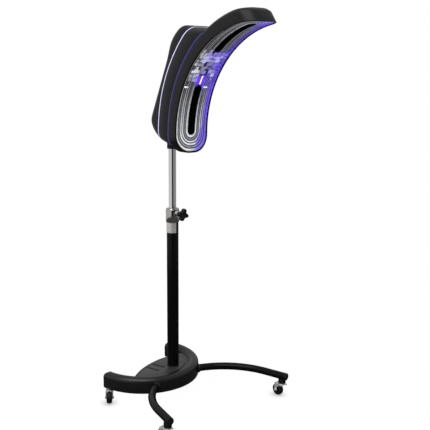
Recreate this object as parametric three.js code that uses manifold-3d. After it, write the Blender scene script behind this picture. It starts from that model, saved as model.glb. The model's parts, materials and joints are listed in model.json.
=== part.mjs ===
// Hair colour processor: a curved heating hood with light strips, on a height adjustable mast
// and a rolling stand. Millimetres, +Z up, the hood faces +X.
import * as THREE from 'three';
import { mergeVertices } from 'three/addons/utils/BufferGeometryUtils.js';
import Module from 'manifold-3d';

const wasm = await Module();
wasm.setup();

// Driving dimensions: shared fits
const FIT = 0.3; // gap between pieces that touch

// Driving dimensions: casters
const CASTER_HEIGHT = 57; // floor to the underside of the base plate
const WHEEL_DIAMETER = 40;
const WHEEL_WIDTH = 17;
const WHEEL_ROUNDING = 3;
const HUB_DIAMETER = 22;
const HUB_RECESS = 2.5;
const CASTER_TRAIL = 19; // swivel axis to axle
const CASTER_HEADINGS = { front_right: 185, front_left: 176, rear_right: -40, rear_left: 60 };
const FORK_SHEET = 2.2;
const FORK_SIDE_GAP = 1.6; // wheel side to fork cheek
const FORK_TOP_GAP = 3;
const FORK_CHEEK = 5.5; // half width of a cheek at the axle
const SWIVEL_DIAMETER = 23;
const SWIVEL_RACE = 3; // height of the race above the bridge, under a leg
const STEM_DIAMETER = 10;
const STEM_LENGTH = 12;
const AXLE_DIAMETER = 6;
const AXLE_HEAD_DIAMETER = 8.5;
const AXLE_HEAD_HEIGHT = 2.5;

// Driving dimensions: leg tube, one bend behind two straight ends
const LEG_DIAMETER = 25;
const LEG_WALL = 1.5;
const LEG_BEND_RADIUS = 242;
const LEG_BEND_FORWARD = 35; // mast axis to the middle of the bend
const LEG_SPLAY = 13.5; // each straight end points this far outwards
const LEG_STRAIGHT = 79;
const LEG_CAP_DOME = 5;
const LEG_CAP_FLAT = 0.7; // share of the cap's radius that is flat
const LEG_CAP_PLUG = 7;
const LEG_STEM_INSET = 13.5; // leg end to caster stem
const LEG_SOCKET_DIAMETER = 25.5; // moulded socket under the leg end, round the stem
const LEG_SOCKET_LAP = 4; // how far it reaches up round the tube

// Driving dimensions: moulded foot, a C-shaped band with a tray across its middle
const FOOT_TURN = 15; // the foot is bolted on turned about the mast
const FOOT_BACK = 105; // mast axis back to the band's centre
const FOOT_SIDE = 26; // mast axis sideways to the band's centre
const FOOT_RADIUS = 190;
const FOOT_BAND = 36;
const FOOT_HALF_ANGLE = 101;
const FOOT_WALL = 3;
const FOOT_SKIRT = 7; // skirt below the base plate
const FOOT_HEIGHT = 52;
const FOOT_SHOULDER = 12;
const FOOT_CASTER_INSET = 18; // band end to caster stem
const TRAY_DEPTH = 126; // band's inner edge back to the tray's rear edge
const TRAY_HALF_ANGLE = 66;
const TRAY_SHOULDER = 5;
const TRAY_COVER = 1.5; // leg tube top to the underside of the tray
const MAT_THICKNESS = 1.6;
const MAT_MARGIN = 9;
const MAT_SLOT_LENGTH = 52;
const MAT_SLOT_WIDTH = 9;
const MAT_SLOT_SPACING = 34;
const MAT_SLOT_SIDE = 78; // mast axis sideways to the slots
const BASE_PLATE = 4;
const BALLAST_DROP = 4.6; // ballast top below the top of the leg tube
const BALLAST_MARGIN = 6;

// Driving dimensions: mast
const LOWER_TUBE_DIAMETER = 40;
const LOWER_TUBE_WALL = 2;
const FLANGE_DIAMETER = 84;
const SPIGOT_HEIGHT = 46;
const COLLAR_HEIGHT = 46;
const COLLAR_WALL = 2.4;
const COLLAR_LAP = 16; // lower tube's end inside the collar
const COLLAR_CHAMFER = 3;
const CLAMP_HEIGHT = 633; // floor to the clamp screw
const CLAMP_BOSS_DIAMETER = 17;
const CLAMP_BOSS_REACH = 34;
const SCREW_DIAMETER = 8;
const SCREW_GRIP = 12; // screw inside the knob
const PAD_THICKNESS = 3;
const KNOB_DIAMETER = 42;
const KNOB_LOBES = 4;
const KNOB_LOBE_DEPTH = 9;
const KNOB_TURN = 20; // degrees, how the star stands
const KNOB_THICKNESS = 16;
const KNOB_ROUNDING = 3;
const KNOB_HUB_DIAMETER = 19;
const KNOB_HUB_LENGTH = 9;
const KNOB_GAP = 3.2; // clamp boss to knob hub, room to tighten
const LABEL_HEIGHT = 35;
const LABEL_THICKNESS = 0.5;
const LABEL_FROM = -150;
const LABEL_TO = -3;
const LABEL_DROP = 1; // collar to label band
const UPPER_TUBE_DIAMETER = 25;
const UPPER_TUBE_WALL = 1.5;
const UPPER_TUBE_BOTTOM = 300;
const BUSH_LENGTH = 60;
const TUBE_FOOT_HEIGHT = 30;
const TUBE_FOOT_FLOOR = 8;
const NECK_COLLAR_DROP = 13.5; // housing's lowest edge down to the bottom of the collar
const NECK_COLLAR_HEIGHT = 24;
const NECK_COLLAR_DIAMETER = 35;

// Driving dimensions: hood, all its layers are arcs about one centre
const HOOD_HEIGHT = 902; // floor to the arc centre
const HOOD_REACH = 56; // mast axis to the back of the arch
const RIM_RADIUS = 331.5; // front edge of the arch
const ARCH_DEPTH = 42.5;
const ARCH_HALF_WIDTH = 68;
const ARCH_WALL = 6;
const ARCH_CHAMFER = 9;
const ARCH_END_RADIUS = 58;
const ARCH_DROP = 59.5; // arc centre down to the arch's lower end
const ARCH_TIP_BACK = 3; // arc centre back to the tip of the arch, at the rim
const ARCH_TIP_LEAN = 0.7; // the end wall leans back as it rises
const LENS_RECESS = 2.5;
const LENS_THICKNESS = 3;
const LED_STRIP_DEPTH = 3.6;
const LED_STRIP_WIDTH = 6;
const REFLECTOR_SHEET = 1.5;
const VENT_HALF_WIDTH = 15;
const VENT_WALL = 2;
const VENT_PROUD = 1;
const LOWER_VENT = [-0.6, 27.4]; // polar angles of a vent's ends, zero pointing back, growing upwards
const UPPER_VENT = [49.6, 80.1];
const LAMP_DIAMETER = 10;
const LAMP_HALF_SPACING = 29;
const LAMP_DEPTH = 21.5; // rim to the middle of a lamp
const LAMP_TURN_INSET = 2.6; // vent's end to the middle of the lamp's turn, as an angle
const HOLDER_GAP = 1; // vent's end to the holder, as an angle
const HOLDER_ANGLE = 3;
const HOLDER_HALF_WIDTH = 38;
const HOLDER_TOP_GAP = 4.9; // lens to the holder
const CLUSTER_HALF_WIDTH = 45;
const CLUSTER_TOP_GAP = 1.9; // lens to the cluster's ribs
const CLUSTER_RIBS = 5;
const CLUSTER_RIB_HEIGHT = 9;

// Driving dimensions: housing behind the arch, a side view rounded at both sides
const HOUSING_HALF_WIDTH = 62;
const HOUSING_ROUNDING = 26;
const HOUSING_WALL = 2.8;
// Its corners, each a polar angle and a depth behind the arch
const HOUSING_HEEL = [-6.2, 1.2]; // where the bottom meets the arch
const HOUSING_REAR = [6.96, 104.5]; // top of the lower bulge, where the flat back begins
const HOUSING_WAIST = [31, 84.9];
const HOUSING_SHOULDER = [36.26, 96];
const HOUSING_CROWN = [47.4, 81.1];
const HOUSING_FALL = 0.18; // slope of the top, falling forwards
const HEEL_PULL = 58; // roundness of the lower bulge
const HEEL_RISE = 0.12;
const REAR_PULL = 48;
const SHOULDER_PULL = 16; // roundness of the upper bulge
const CROWN_PULL = 30;
const LIGHT_STRIP = 3;
const LIGHT_STRIP_WIDTH = 6;
const SPLIT_DEPTH = 53; // arch back to the front of the rear cover
const BRACKET_LIFT = 56; // housing's lowest edge to the bracket's sleeve
const BRACKET_WALL = 4;
const BRACKET_HEIGHT = 66;
const BRACKET_CAP = 4;
const BRACKET_WEB_HALF_WIDTH = 22;
const BRACKET_WEB_HEIGHT = 56;
const SUPPLY_GAP = 27; // bracket up to the power supply
const SUPPLY_SIZE = [50, 84, 96]; // depth, width, height

// Driving dimensions: controls on the flat back
const PANEL_SIZE = [4, 54, 92]; // thickness, width, height
const PANEL_MARGIN = 47.9; // top of the flat back down to the panel
const DISPLAY_SIZE = [1.2, 40, 26];
const DISPLAY_RISE = 24; // middle of the panel up to the middle of the display
const BUTTON_DIAMETER = 12;
const BUTTON_PROUD = 1.5;
const BUTTON_LIFT = 1.8; // back of the panel to the back of a button
const BUTTON_SPACING = 21;
const BUTTON_DROP = 14; // middle of the panel down to the middle of the buttons
const BOARD_THICKNESS = 1.6;
const INLET_SIZE = [5, 50, 30];
const INLET_GAP = 13; // panel down to the inlet plate
const INLET_WELL = [3, 20, 16];
const SWITCH_SIZE = [5, 12, 18];
const SWITCH_PROUD = 1.5;
const SWITCH_DISH = 0.8; // height of the rocker's hollow middle over the plate
const SWITCH_EDGE = -1; // back of the rocker's ends, under the plate's face
const SWITCH_POCKET = 3;
const SWITCH_SWING = 0.5; // room at the rocker's ends
const SWITCH_SIDE = 15; // from the middle of the inlet plate, the well is as far the other way

// Mesh fineness
const ROUND_SIDES = 24;
const SMALL_SIDES = 16;
const WHEEL_SIDES = 20;
const HOOD_STEP = 5;
const HOOD_START = -20;
const HOOD_END = 105;
const LEG_STEPS = 26;
const LEG_SIDES = 12;
const FOOT_STEPS = 14;
const STAR_POINTS = 32;
const LAMP_STEPS = 28;
const LAMP_SIDES = 8;
const AXLE_SIDES = 12;
const CURVE_STEPS = 8;
const LABEL_STEPS = 16;
const FOOT_BEVEL_STEPS = 3;
const KNOB_BEVEL_STEPS = 2;
const HOUSING_BEVEL_STEPS = 4;

const part = new THREE.Group();
const rad = THREE.MathUtils.degToRad;
const deg = THREE.MathUtils.radToDeg;

// Finishes
const finish = (color, roughness, metalness) => ({ color, roughness, metalness });
const SATIN_BLACK = finish(0x2e2e30, 0.45, 0);
const GLOSS_BLACK = finish(0x161617, 0.25, 0.1);
const FOOT_GREY = finish(0x3a3a3c, 0.5, 0);
const MAT_GREY = finish(0x58585a, 0.7, 0);
const RUBBER_BLACK = finish(0x151515, 0.8, 0);
const CHROME = finish(0xd8d8da, 0.12, 1);
const ZINC = finish(0xb9bcc0, 0.3, 1);
const STEEL = finish(0x8a8c90, 0.4, 1);
const IRON = finish(0x3c3d40, 0.7, 0.8);
const SILVER_FILM = finish(0xc9c4c6, 0.3, 0.6);
const NYLON = finish(0xe4e2da, 0.6, 0);
const CLEAR = finish(0xd6dce8, 0.08, 0);
const LIT_WHITE = finish(0xc8c8ff, 0.4, 0);
const LIT_VIOLET = finish(0x5a3cf0, 0.4, 0);
const MIRROR = finish(0xdadde2, 0.15, 1);
const QUARTZ = finish(0xe8ddd0, 0.1, 0);
const CERAMIC = finish(0xe9e6de, 0.6, 0);
const BOARD_GREEN = finish(0x1f5a3c, 0.6, 0);

// Solids and meshes
function solid(geometry) {
  const bare = geometry.clone();
  bare.deleteAttribute('normal');
  bare.deleteAttribute('uv');
  const merged = mergeVertices(bare, 1e-4);
  return new wasm.Manifold(new wasm.Mesh({
    numProp: 3,
    vertProperties: new Float32Array(merged.attributes.position.array),
    triVerts: new Uint32Array(merged.index.array),
  }));
}

function geometryOf(body) {
  const mesh = body.getMesh();
  const geometry = new THREE.BufferGeometry();
  geometry.setAttribute('position', new THREE.BufferAttribute(new Float32Array(mesh.vertProperties), 3));
  geometry.setIndex(new THREE.BufferAttribute(new Uint32Array(mesh.triVerts), 1));
  geometry.computeVertexNormals();
  return geometry;
}

function add(name, shape, look, parent = part) {
  const geometry = shape.isBufferGeometry ? shape : geometryOf(shape);
  const mesh = new THREE.Mesh(geometry, new THREE.MeshStandardMaterial(look));
  mesh.name = name;
  parent.add(mesh);
  return mesh;
}

// A box between two corners
function block(low, high) {
  const size = high.map((value, axis) => value - low[axis]);
  const middle = high.map((value, axis) => (value + low[axis]) / 2);
  return solid(new THREE.BoxGeometry(...size).translate(...middle));
}

// A round bar along Z
function bar(radius, low, high, sides = ROUND_SIDES) {
  const geometry = new THREE.CylinderGeometry(radius, radius, high - low, sides);
  return geometry.rotateX(Math.PI / 2).translate(0, 0, (low + high) / 2);
}

// A round bar along X at a height
function barX(radius, low, high, height, sides = SMALL_SIDES) {
  const geometry = new THREE.CylinderGeometry(radius, radius, high - low, sides);
  return geometry.rotateZ(Math.PI / 2).translate((low + high) / 2, 0, height);
}

// A turned piece about Z from [radius, height] points
function turned(points, sides = ROUND_SIDES) {
  const profile = points.map(([radius, height]) => new THREE.Vector2(radius, height));
  return new THREE.LatheGeometry(profile, sides).rotateX(Math.PI / 2);
}

// A turned ring about Z, its profile closes on itself
function ring(points, sides = ROUND_SIDES) {
  return turned([...points, points[0]], sides);
}

function plain(shape, low, high, curveSegments) {
  const options = { depth: high - low, bevelEnabled: false, curveSegments };
  return new THREE.ExtrudeGeometry(shape, options).translate(0, 0, low);
}

// Casters: a swivel fork on a stem, a wheel and its axle
function casterFork(mountFace, stemTop) {
  const axleHeight = WHEEL_DIAMETER / 2;
  const bridgeLow = WHEEL_DIAMETER + FORK_TOP_GAP;
  const bridgeHigh = bridgeLow + FORK_SHEET;
  const inside = WHEEL_WIDTH / 2 + FORK_SIDE_GAP;
  const outside = inside + FORK_SHEET;
  const boss = SWIVEL_DIAMETER / 2;
  const cheek = new THREE.Shape();
  cheek.moveTo(-boss, bridgeHigh);
  cheek.lineTo(-boss, bridgeLow - FORK_SHEET);
  const front = CASTER_TRAIL - FORK_CHEEK;
  cheek.quadraticCurveTo(front, bridgeLow - FORK_SHEET, front, axleHeight);
  cheek.absarc(CASTER_TRAIL, axleHeight, FORK_CHEEK, Math.PI, 2 * Math.PI, false);
  cheek.lineTo(CASTER_TRAIL + FORK_CHEEK, bridgeHigh);
  const eye = new THREE.Path();
  eye.absarc(CASTER_TRAIL, axleHeight, AXLE_DIAMETER / 2 + FIT, 0, 2 * Math.PI, true);
  cheek.holes.push(eye);
  const cheekPlate = plain(cheek, -FORK_SHEET, 0, CURVE_STEPS).rotateX(Math.PI / 2);
  const side = (low) => solid(cheekPlate.clone().translate(0, low, 0));
  const bridge = block([-boss, -outside, bridgeLow], [CASTER_TRAIL + FORK_CHEEK, outside, bridgeHigh]);
  const swivel = solid(bar(boss, bridgeLow, mountFace - FIT, SMALL_SIDES));
  const stem = solid(bar(STEM_DIAMETER / 2, bridgeLow, stemTop, SMALL_SIDES));
  return bridge.add(side(inside)).add(side(-outside)).add(swivel).add(stem);
}

function casterWheel() {
  const bore = AXLE_DIAMETER / 2 + FIT;
  const half = WHEEL_WIDTH / 2;
  const hub = HUB_DIAMETER / 2;
  const radius = WHEEL_DIAMETER / 2;
  const recess = half - HUB_RECESS;
  const shoulder = radius - WHEEL_ROUNDING;
  const profile = [
    [bore, -half], [bore + FORK_SHEET, -half], [bore + FORK_SHEET, -recess], [hub, -recess], [hub, -half],
    [shoulder, -half], [radius, WHEEL_ROUNDING - half], [radius, half - WHEEL_ROUNDING], [shoulder, half],
    [hub, half], [hub, recess], [bore + FORK_SHEET, recess], [bore + FORK_SHEET, half], [bore, half],
  ];
  return ring(profile, WHEEL_SIDES).rotateX(-Math.PI / 2);
}

function casterAxle() {
  const outside = WHEEL_WIDTH / 2 + FORK_SIDE_GAP + FORK_SHEET + FIT;
  const pin = AXLE_DIAMETER / 2;
  const head = AXLE_HEAD_DIAMETER / 2;
  const end = outside + AXLE_HEAD_HEIGHT;
  const profile = [[0, -end], [head, -end], [head, -outside], [pin, -outside],
    [pin, outside], [head, outside], [head, end], [0, end]];
  return turned(profile, AXLE_SIDES).rotateX(-Math.PI / 2);
}

function addCaster(name, x, y, heading, mountFace, stemTop) {
  const caster = new THREE.Group();
  caster.position.set(x, y, 0);
  caster.rotation.z = rad(heading);
  part.add(caster);
  add(`${name}_fork`, casterFork(mountFace, stemTop), ZINC, caster);
  const wheel = add(`${name}_wheel`, casterWheel(), RUBBER_BLACK, caster);
  wheel.position.set(CASTER_TRAIL, 0, WHEEL_DIAMETER / 2);
  const axle = add(`${name}_axle`, casterAxle(), ZINC, caster);
  axle.position.copy(wheel.position);
}

// Heights that follow from the stack on the base plate
const plateLow = CASTER_HEIGHT + FIT;
const plateHigh = plateLow + BASE_PLATE;
const legFlat = LEG_DIAMETER / 2 * Math.cos(Math.PI / LEG_SIDES); // the tube's faces, measured across
const legHeight = plateHigh + FIT + legFlat;
const legTop = legHeight + legFlat;
const trayUnder = legTop + TRAY_COVER;
const trayTop = trayUnder + FOOT_WALL;
const footBottom = CASTER_HEIGHT - FOOT_SKIRT;
const footTop = footBottom + FOOT_HEIGHT;

// Leg tube: its middle line runs straight, round the bend and straight again
const bendCentre = LEG_BEND_FORWARD + LEG_BEND_RADIUS;
class LegLine extends THREE.Curve {
  constructor(straight) {
    super();
    this.straight = straight;
  }

  getPoint(t) {
    const sweep = Math.PI / 2 - rad(LEG_SPLAY);
    const bendLength = LEG_BEND_RADIUS * sweep;
    const along = (t - 0.5) * 2 * (bendLength + this.straight);
    const side = Math.sign(along);
    const onBend = Math.min(Math.abs(along), bendLength) / LEG_BEND_RADIUS;
    const beyond = Math.max(Math.abs(along) - bendLength, 0);
    const x = bendCentre - LEG_BEND_RADIUS * Math.cos(onBend) + beyond * Math.sin(onBend);
    const y = side * (LEG_BEND_RADIUS * Math.sin(onBend) + beyond * Math.cos(onBend));
    return new THREE.Vector3(x, y, legHeight);
  }
}

const legLine = new LegLine(LEG_STRAIGHT);
const boreLine = new LegLine(LEG_STRAIGHT + LEG_WALL);

function disc(radius, sides) {
  const shape = new THREE.Shape();
  for (let i = 0; i < sides; i += 1) {
    const angle = ((i + 0.5) / sides) * 2 * Math.PI;
    const place = [radius * Math.cos(angle), radius * Math.sin(angle)];
    if (i === 0) shape.moveTo(...place);
    else shape.lineTo(...place);
  }
  return shape;
}

function alongLeg(radius, line) {
  const options = { extrudePath: line, steps: LEG_STEPS, bevelEnabled: false };
  return solid(new THREE.ExtrudeGeometry(disc(radius, LEG_SIDES), options));
}

const legChannel = alongLeg(LEG_DIAMETER / 2 + FIT, legLine);
const insideBend = solid(bar(LEG_BEND_RADIUS, 0, 2 * legTop).translate(bendCentre, 0, 0));
const legLength = legLine.getLength();
const legEnds = [-1, 1].map((side) => {
  const t = side < 0 ? 0 : 1;
  const inset = LEG_STEM_INSET / legLength;
  const stem = legLine.getPoint(side < 0 ? inset : 1 - inset);
  const outward = legLine.getTangent(t).multiplyScalar(side);
  return { name: side < 0 ? 'right' : 'left', end: legLine.getPoint(t), stem, outward };
});

let legTube = alongLeg(LEG_DIAMETER / 2, legLine)
  .subtract(alongLeg(LEG_DIAMETER / 2 - LEG_WALL, boreLine));
for (const { stem } of legEnds) {
  const hole = bar(STEM_DIAMETER / 2 + FIT, legHeight - LEG_DIAMETER, legHeight, SMALL_SIDES);
  legTube = legTube.subtract(solid(hole.translate(stem.x, stem.y, 0)));
}
add('leg_tube', legTube, GLOSS_BLACK);

for (const { name, end, outward } of legEnds) {
  const radius = LEG_DIAMETER / 2;
  const plug = (radius - LEG_WALL) * Math.cos(Math.PI / LEG_SIDES) - FIT;
  const cap = add(`leg_cap_${name}`, turned([
    [0, -LEG_CAP_PLUG], [plug, -LEG_CAP_PLUG], [plug, FIT], [radius, FIT],
    [radius, LEG_CAP_DOME / 2], [radius * LEG_CAP_FLAT, LEG_CAP_DOME], [0, LEG_CAP_DOME],
  ], SMALL_SIDES), RUBBER_BLACK);
  cap.position.copy(end);
  cap.quaternion.setFromUnitVectors(new THREE.Vector3(0, 0, 1), outward);
}

// Moulded foot, drawn about the band's own centre and then turned with the foot
const footGroup = new THREE.Group();
footGroup.rotation.z = rad(FOOT_TURN);
footGroup.updateMatrix();
part.add(footGroup);
const bandInner = FOOT_RADIUS - FOOT_BAND;
const toMast = new THREE.Vector2(FOOT_BACK, FOOT_SIDE); // band centre to mast axis

// The C-shaped band, drawn in by an inset
function bandShape(inset) {
  const outer = FOOT_RADIUS - inset;
  const inner = bandInner + inset;
  const half = rad(FOOT_HALF_ANGLE) - inset / FOOT_RADIUS;
  const shape = new THREE.Shape();
  shape.absarc(0, 0, outer, -half, half, false);
  shape.absarc(0, 0, inner, half, -half, true);
  return shape;
}

// The tray, a lens between the band and a flat rear arc, drawn in by an inset
function trayShape(inset, frontRadius) {
  const half = rad(TRAY_HALF_ANGLE) - inset / bandInner;
  const x = frontRadius * Math.cos(half);
  const y = frontRadius * Math.sin(half);
  const rear = bandInner - TRAY_DEPTH + inset;
  const rise = x - rear;
  const radius = (y * y + rise * rise) / (2 * rise);
  const sweep = Math.asin(y / radius);
  const shape = new THREE.Shape();
  shape.absarc(0, 0, frontRadius, -half, half, false);
  shape.absarc(rear + radius, 0, radius, Math.PI - sweep, Math.PI + sweep, false);
  return shape;
}

// A moulding with a rounded top edge and a plain open bottom
function moulding(shape, low, high, rounding) {
  const geometry = new THREE.ExtrudeGeometry(shape, {
    depth: high - low,
    bevelThickness: rounding,
    bevelSize: rounding,
    bevelOffset: -rounding,
    bevelSegments: FOOT_BEVEL_STEPS,
    curveSegments: FOOT_STEPS,
  });
  const reach = 3 * FOOT_RADIUS;
  const under = block([-reach, -reach, low - 3 * rounding], [reach, reach, low]);
  return solid(geometry.translate(0, 0, low - rounding)).subtract(under);
}

const moveToMast = (body) => geometryOf(body).translate(-toMast.x, -toMast.y, 0);
const lap = FOOT_BAND / 3; // tray and band run into each other
const fromMast = (body) => solid(geometryOf(body).rotateZ(-rad(FOOT_TURN)).translate(toMast.x, toMast.y, 0));
const turnedLeg = fromMast(legChannel);
const turnedBend = fromMast(insideBend);
const mastHole = fromMast(solid(bar(LOWER_TUBE_DIAMETER / 2 + FIT, footBottom, footTop)));

function footBody(inset, low, drop) {
  const band = moulding(bandShape(inset), low, footTop - drop, FOOT_SHOULDER - inset);
  const tray = moulding(trayShape(inset, bandInner + lap), low, trayTop - drop, TRAY_SHOULDER - inset);
  return band.add(tray);
}

const footShell = footBody(0, footBottom, 0)
  .subtract(footBody(FOOT_WALL, footBottom - FOOT_WALL, FOOT_WALL))
  .subtract(turnedLeg)
  .subtract(mastHole);
add('base_shell', moveToMast(footShell), FOOT_GREY, footGroup);

function matSlot(offset) {
  const half = MAT_SLOT_LENGTH / 2;
  const low = [toMast.x - MAT_SLOT_SPACING - half, toMast.y - MAT_SLOT_SIDE + offset, trayTop];
  const high = [low[0] + MAT_SLOT_LENGTH, low[1] + MAT_SLOT_WIDTH, footTop];
  return block(low, high);
}
const matLow = trayTop + FIT;
const matInset = TRAY_SHOULDER + MAT_MARGIN;
const matShape = trayShape(matInset, bandInner - MAT_MARGIN);
const mat = solid(plain(matShape, matLow, matLow + MAT_THICKNESS, FOOT_STEPS))
  .subtract(mastHole)
  .subtract(matSlot(0))
  .subtract(matSlot(MAT_SLOT_SPACING));
add('tray_mat', moveToMast(mat), MAT_GREY, footGroup);

const plateInset = FOOT_WALL + FIT;
const stemAngle = rad(FOOT_HALF_ANGLE) - FOOT_CASTER_INSET / FOOT_RADIUS;
const bandMiddle = (FOOT_RADIUS + bandInner) / 2;
const footStems = [-1, 1].map((side) => new THREE.Vector3(
  bandMiddle * Math.cos(stemAngle), side * bandMiddle * Math.sin(stemAngle), 0));
let plate = solid(plain(bandShape(plateInset), plateLow, plateHigh, FOOT_STEPS))
  .add(solid(plain(trayShape(plateInset, bandInner + lap), plateLow, plateHigh, FOOT_STEPS)));
for (const stem of footStems) {
  const hole = bar(STEM_DIAMETER / 2 + FIT, plateLow - BASE_PLATE, plateHigh + BASE_PLATE, SMALL_SIDES);
  plate = plate.subtract(solid(hole.translate(stem.x, stem.y, 0)));
}
add('base_plate', moveToMast(plate), STEEL, footGroup);

const ballastTop = legTop - BALLAST_DROP;
const ballast = solid(plain(trayShape(BALLAST_MARGIN, bandInner), plateHigh + FIT, ballastTop, FOOT_STEPS));
add('ballast', moveToMast(ballast.subtract(turnedLeg).subtract(turnedBend)), IRON, footGroup);

// Sockets under the leg ends, each hollowed to the tube that it holds
const legMount = legHeight - legFlat;
const socketLow = WHEEL_DIAMETER + FORK_TOP_GAP + FORK_SHEET + SWIVEL_RACE + FIT;
for (const { name, stem } of legEnds) {
  const body = bar(LEG_SOCKET_DIAMETER / 2, socketLow, legMount + LEG_SOCKET_LAP, SMALL_SIDES);
  const hole = bar(STEM_DIAMETER / 2 + FIT, socketLow - FIT, legTop, SMALL_SIDES);
  const socket = solid(body.translate(stem.x, stem.y, 0)).subtract(legChannel)
    .subtract(solid(hole.translate(stem.x, stem.y, 0)));
  add(`leg_socket_${name}`, socket, RUBBER_BLACK);
}

// Casters, one at each leg end and one at each end of the band
const [rightLeg, leftLeg] = legEnds;
const [rightFoot, leftFoot] = footStems.map((stem) => stem.clone()
  .sub(new THREE.Vector3(toMast.x, toMast.y, 0)).applyMatrix4(footGroup.matrix));
addCaster('front_right', rightLeg.stem.x, rightLeg.stem.y, CASTER_HEADINGS.front_right, socketLow,
  legMount + STEM_LENGTH);
addCaster('front_left', leftLeg.stem.x, leftLeg.stem.y, CASTER_HEADINGS.front_left, socketLow,
  legMount + STEM_LENGTH);
addCaster('rear_right', rightFoot.x, rightFoot.y, CASTER_HEADINGS.rear_right, plateLow,
  plateLow + STEM_LENGTH);
addCaster('rear_left', leftFoot.x, leftFoot.y, CASTER_HEADINGS.rear_left, plateLow,
  plateLow + STEM_LENGTH);

// Hood frame: polar angles run about the arc centre from straight back, zero, up and over
const archBack = RIM_RADIUS + ARCH_DEPTH;
const hoodForward = HOOD_REACH + archBack;
const lampRadius = RIM_RADIUS + LAMP_DEPTH;
function hoodPlace(radius, degrees) {
  const angle = rad(degrees);
  return new THREE.Vector2(hoodForward - radius * Math.cos(angle), HOOD_HEIGHT + radius * Math.sin(angle));
}
const corner = ([degrees, depth]) => hoodPlace(archBack + depth, degrees);
const heel = corner(HOUSING_HEEL);
const rear = corner(HOUSING_REAR);
const waist = corner(HOUSING_WAIST);
const shoulder = corner(HOUSING_SHOULDER);
const crown = corner(HOUSING_CROWN);
const neckCollarLow = heel.y - NECK_COLLAR_DROP;
const bracketLow = heel.y + BRACKET_LIFT;
const bracketTop = bracketLow + BRACKET_HEIGHT;

// Mast: flange, lower tube, clamp collar and the sliding upper tube
const lowerRadius = LOWER_TUBE_DIAMETER / 2;
const lowerBore = lowerRadius - LOWER_TUBE_WALL;
const upperRadius = UPPER_TUBE_DIAMETER / 2;
const mastBottom = legTop + FIT;
const collarBottom = CLAMP_HEIGHT - (COLLAR_LAP + COLLAR_HEIGHT) / 2; // the screw is midway over the lap
const lowerTop = collarBottom + COLLAR_LAP;
const collarTop = collarBottom + COLLAR_HEIGHT;

const flange = solid(bar(FLANGE_DIAMETER / 2, ballastTop + FIT, mastBottom - FIT))
  .subtract(insideBend)
  .add(solid(bar(lowerBore - FIT, ballastTop + FIT, mastBottom + SPIGOT_HEIGHT)))
  .subtract(legChannel);
add('mast_flange', flange, STEEL);

add('lower_tube', ring([
  [lowerBore, mastBottom], [lowerRadius, mastBottom], [lowerRadius, lowerTop], [lowerBore, lowerTop],
]), GLOSS_BLACK);

const label = new THREE.Shape();
const labelInner = lowerRadius + FIT;
label.absarc(0, 0, labelInner + LABEL_THICKNESS, rad(LABEL_FROM), rad(LABEL_TO), false);
label.absarc(0, 0, labelInner, rad(LABEL_TO), rad(LABEL_FROM), true);
const labelTop = collarBottom - LABEL_DROP;
add('label_band', plain(label, labelTop - LABEL_HEIGHT, labelTop, LABEL_STEPS), SILVER_FILM);

const slideBore = upperRadius + FIT;
add('guide_bush', ring([
  [slideBore, lowerTop - BUSH_LENGTH], [lowerBore - FIT, lowerTop - BUSH_LENGTH],
  [lowerBore - FIT, lowerTop], [slideBore, lowerTop],
]), NYLON);

const collarOuter = lowerRadius + FIT + COLLAR_WALL;
const collarRing = ring([
  [lowerRadius + FIT, collarBottom], [collarOuter, collarBottom], [collarOuter, collarTop - COLLAR_CHAMFER],
  [collarOuter - COLLAR_CHAMFER, collarTop], [slideBore, collarTop], [slideBore, lowerTop + FIT],
  [lowerRadius + FIT, lowerTop + FIT],
]);
const screwRadius = SCREW_DIAMETER / 2;
const collar = solid(collarRing)
  .add(solid(barX(CLAMP_BOSS_DIAMETER / 2, collarOuter - COLLAR_WALL, CLAMP_BOSS_REACH, CLAMP_HEIGHT)))
  .subtract(solid(barX(screwRadius + FIT, 0, CLAMP_BOSS_REACH + COLLAR_WALL, CLAMP_HEIGHT)));
add('clamp_collar', collar, CHROME);

const padStart = slideBore;
const padEnd = padStart + PAD_THICKNESS;
const knobStart = CLAMP_BOSS_REACH + KNOB_GAP;
const knobFace = knobStart + KNOB_HUB_LENGTH;
add('clamp_pad', barX(screwRadius, padStart, padEnd, CLAMP_HEIGHT), NYLON);
add('clamp_screw', barX(screwRadius, padEnd + FIT, knobStart + SCREW_GRIP, CLAMP_HEIGHT), ZINC);

const star = new THREE.Shape();
for (let i = 0; i < STAR_POINTS; i += 1) {
  const angle = (i / STAR_POINTS) * 2 * Math.PI;
  const dip = (1 - Math.cos(KNOB_LOBES * (angle + rad(KNOB_TURN)))) / 2;
  const radius = KNOB_DIAMETER / 2 - KNOB_LOBE_DEPTH * dip;
  const place = [radius * Math.cos(angle), radius * Math.sin(angle)];
  if (i === 0) star.moveTo(...place);
  else star.lineTo(...place);
}
const knobBody = new THREE.ExtrudeGeometry(star, {
  depth: KNOB_THICKNESS - 2 * KNOB_ROUNDING,
  bevelThickness: KNOB_ROUNDING,
  bevelSize: KNOB_ROUNDING,
  bevelOffset: -KNOB_ROUNDING,
  bevelSegments: KNOB_BEVEL_STEPS,
});
knobBody.rotateY(Math.PI / 2).translate(knobFace + KNOB_ROUNDING, 0, CLAMP_HEIGHT);
const knob = solid(knobBody)
  .add(solid(barX(KNOB_HUB_DIAMETER / 2, knobStart, knobFace + KNOB_ROUNDING, CLAMP_HEIGHT)))
  .subtract(solid(barX(screwRadius + FIT, 0, knobStart + SCREW_GRIP + FIT, CLAMP_HEIGHT)));
add('star_knob', knob, SATIN_BLACK);

const upperTop = bracketTop - BRACKET_CAP - FIT;
add('upper_tube', ring([
  [upperRadius - UPPER_TUBE_WALL, UPPER_TUBE_BOTTOM], [upperRadius, UPPER_TUBE_BOTTOM],
  [upperRadius, upperTop], [upperRadius - UPPER_TUBE_WALL, upperTop],
]), CHROME);

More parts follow.
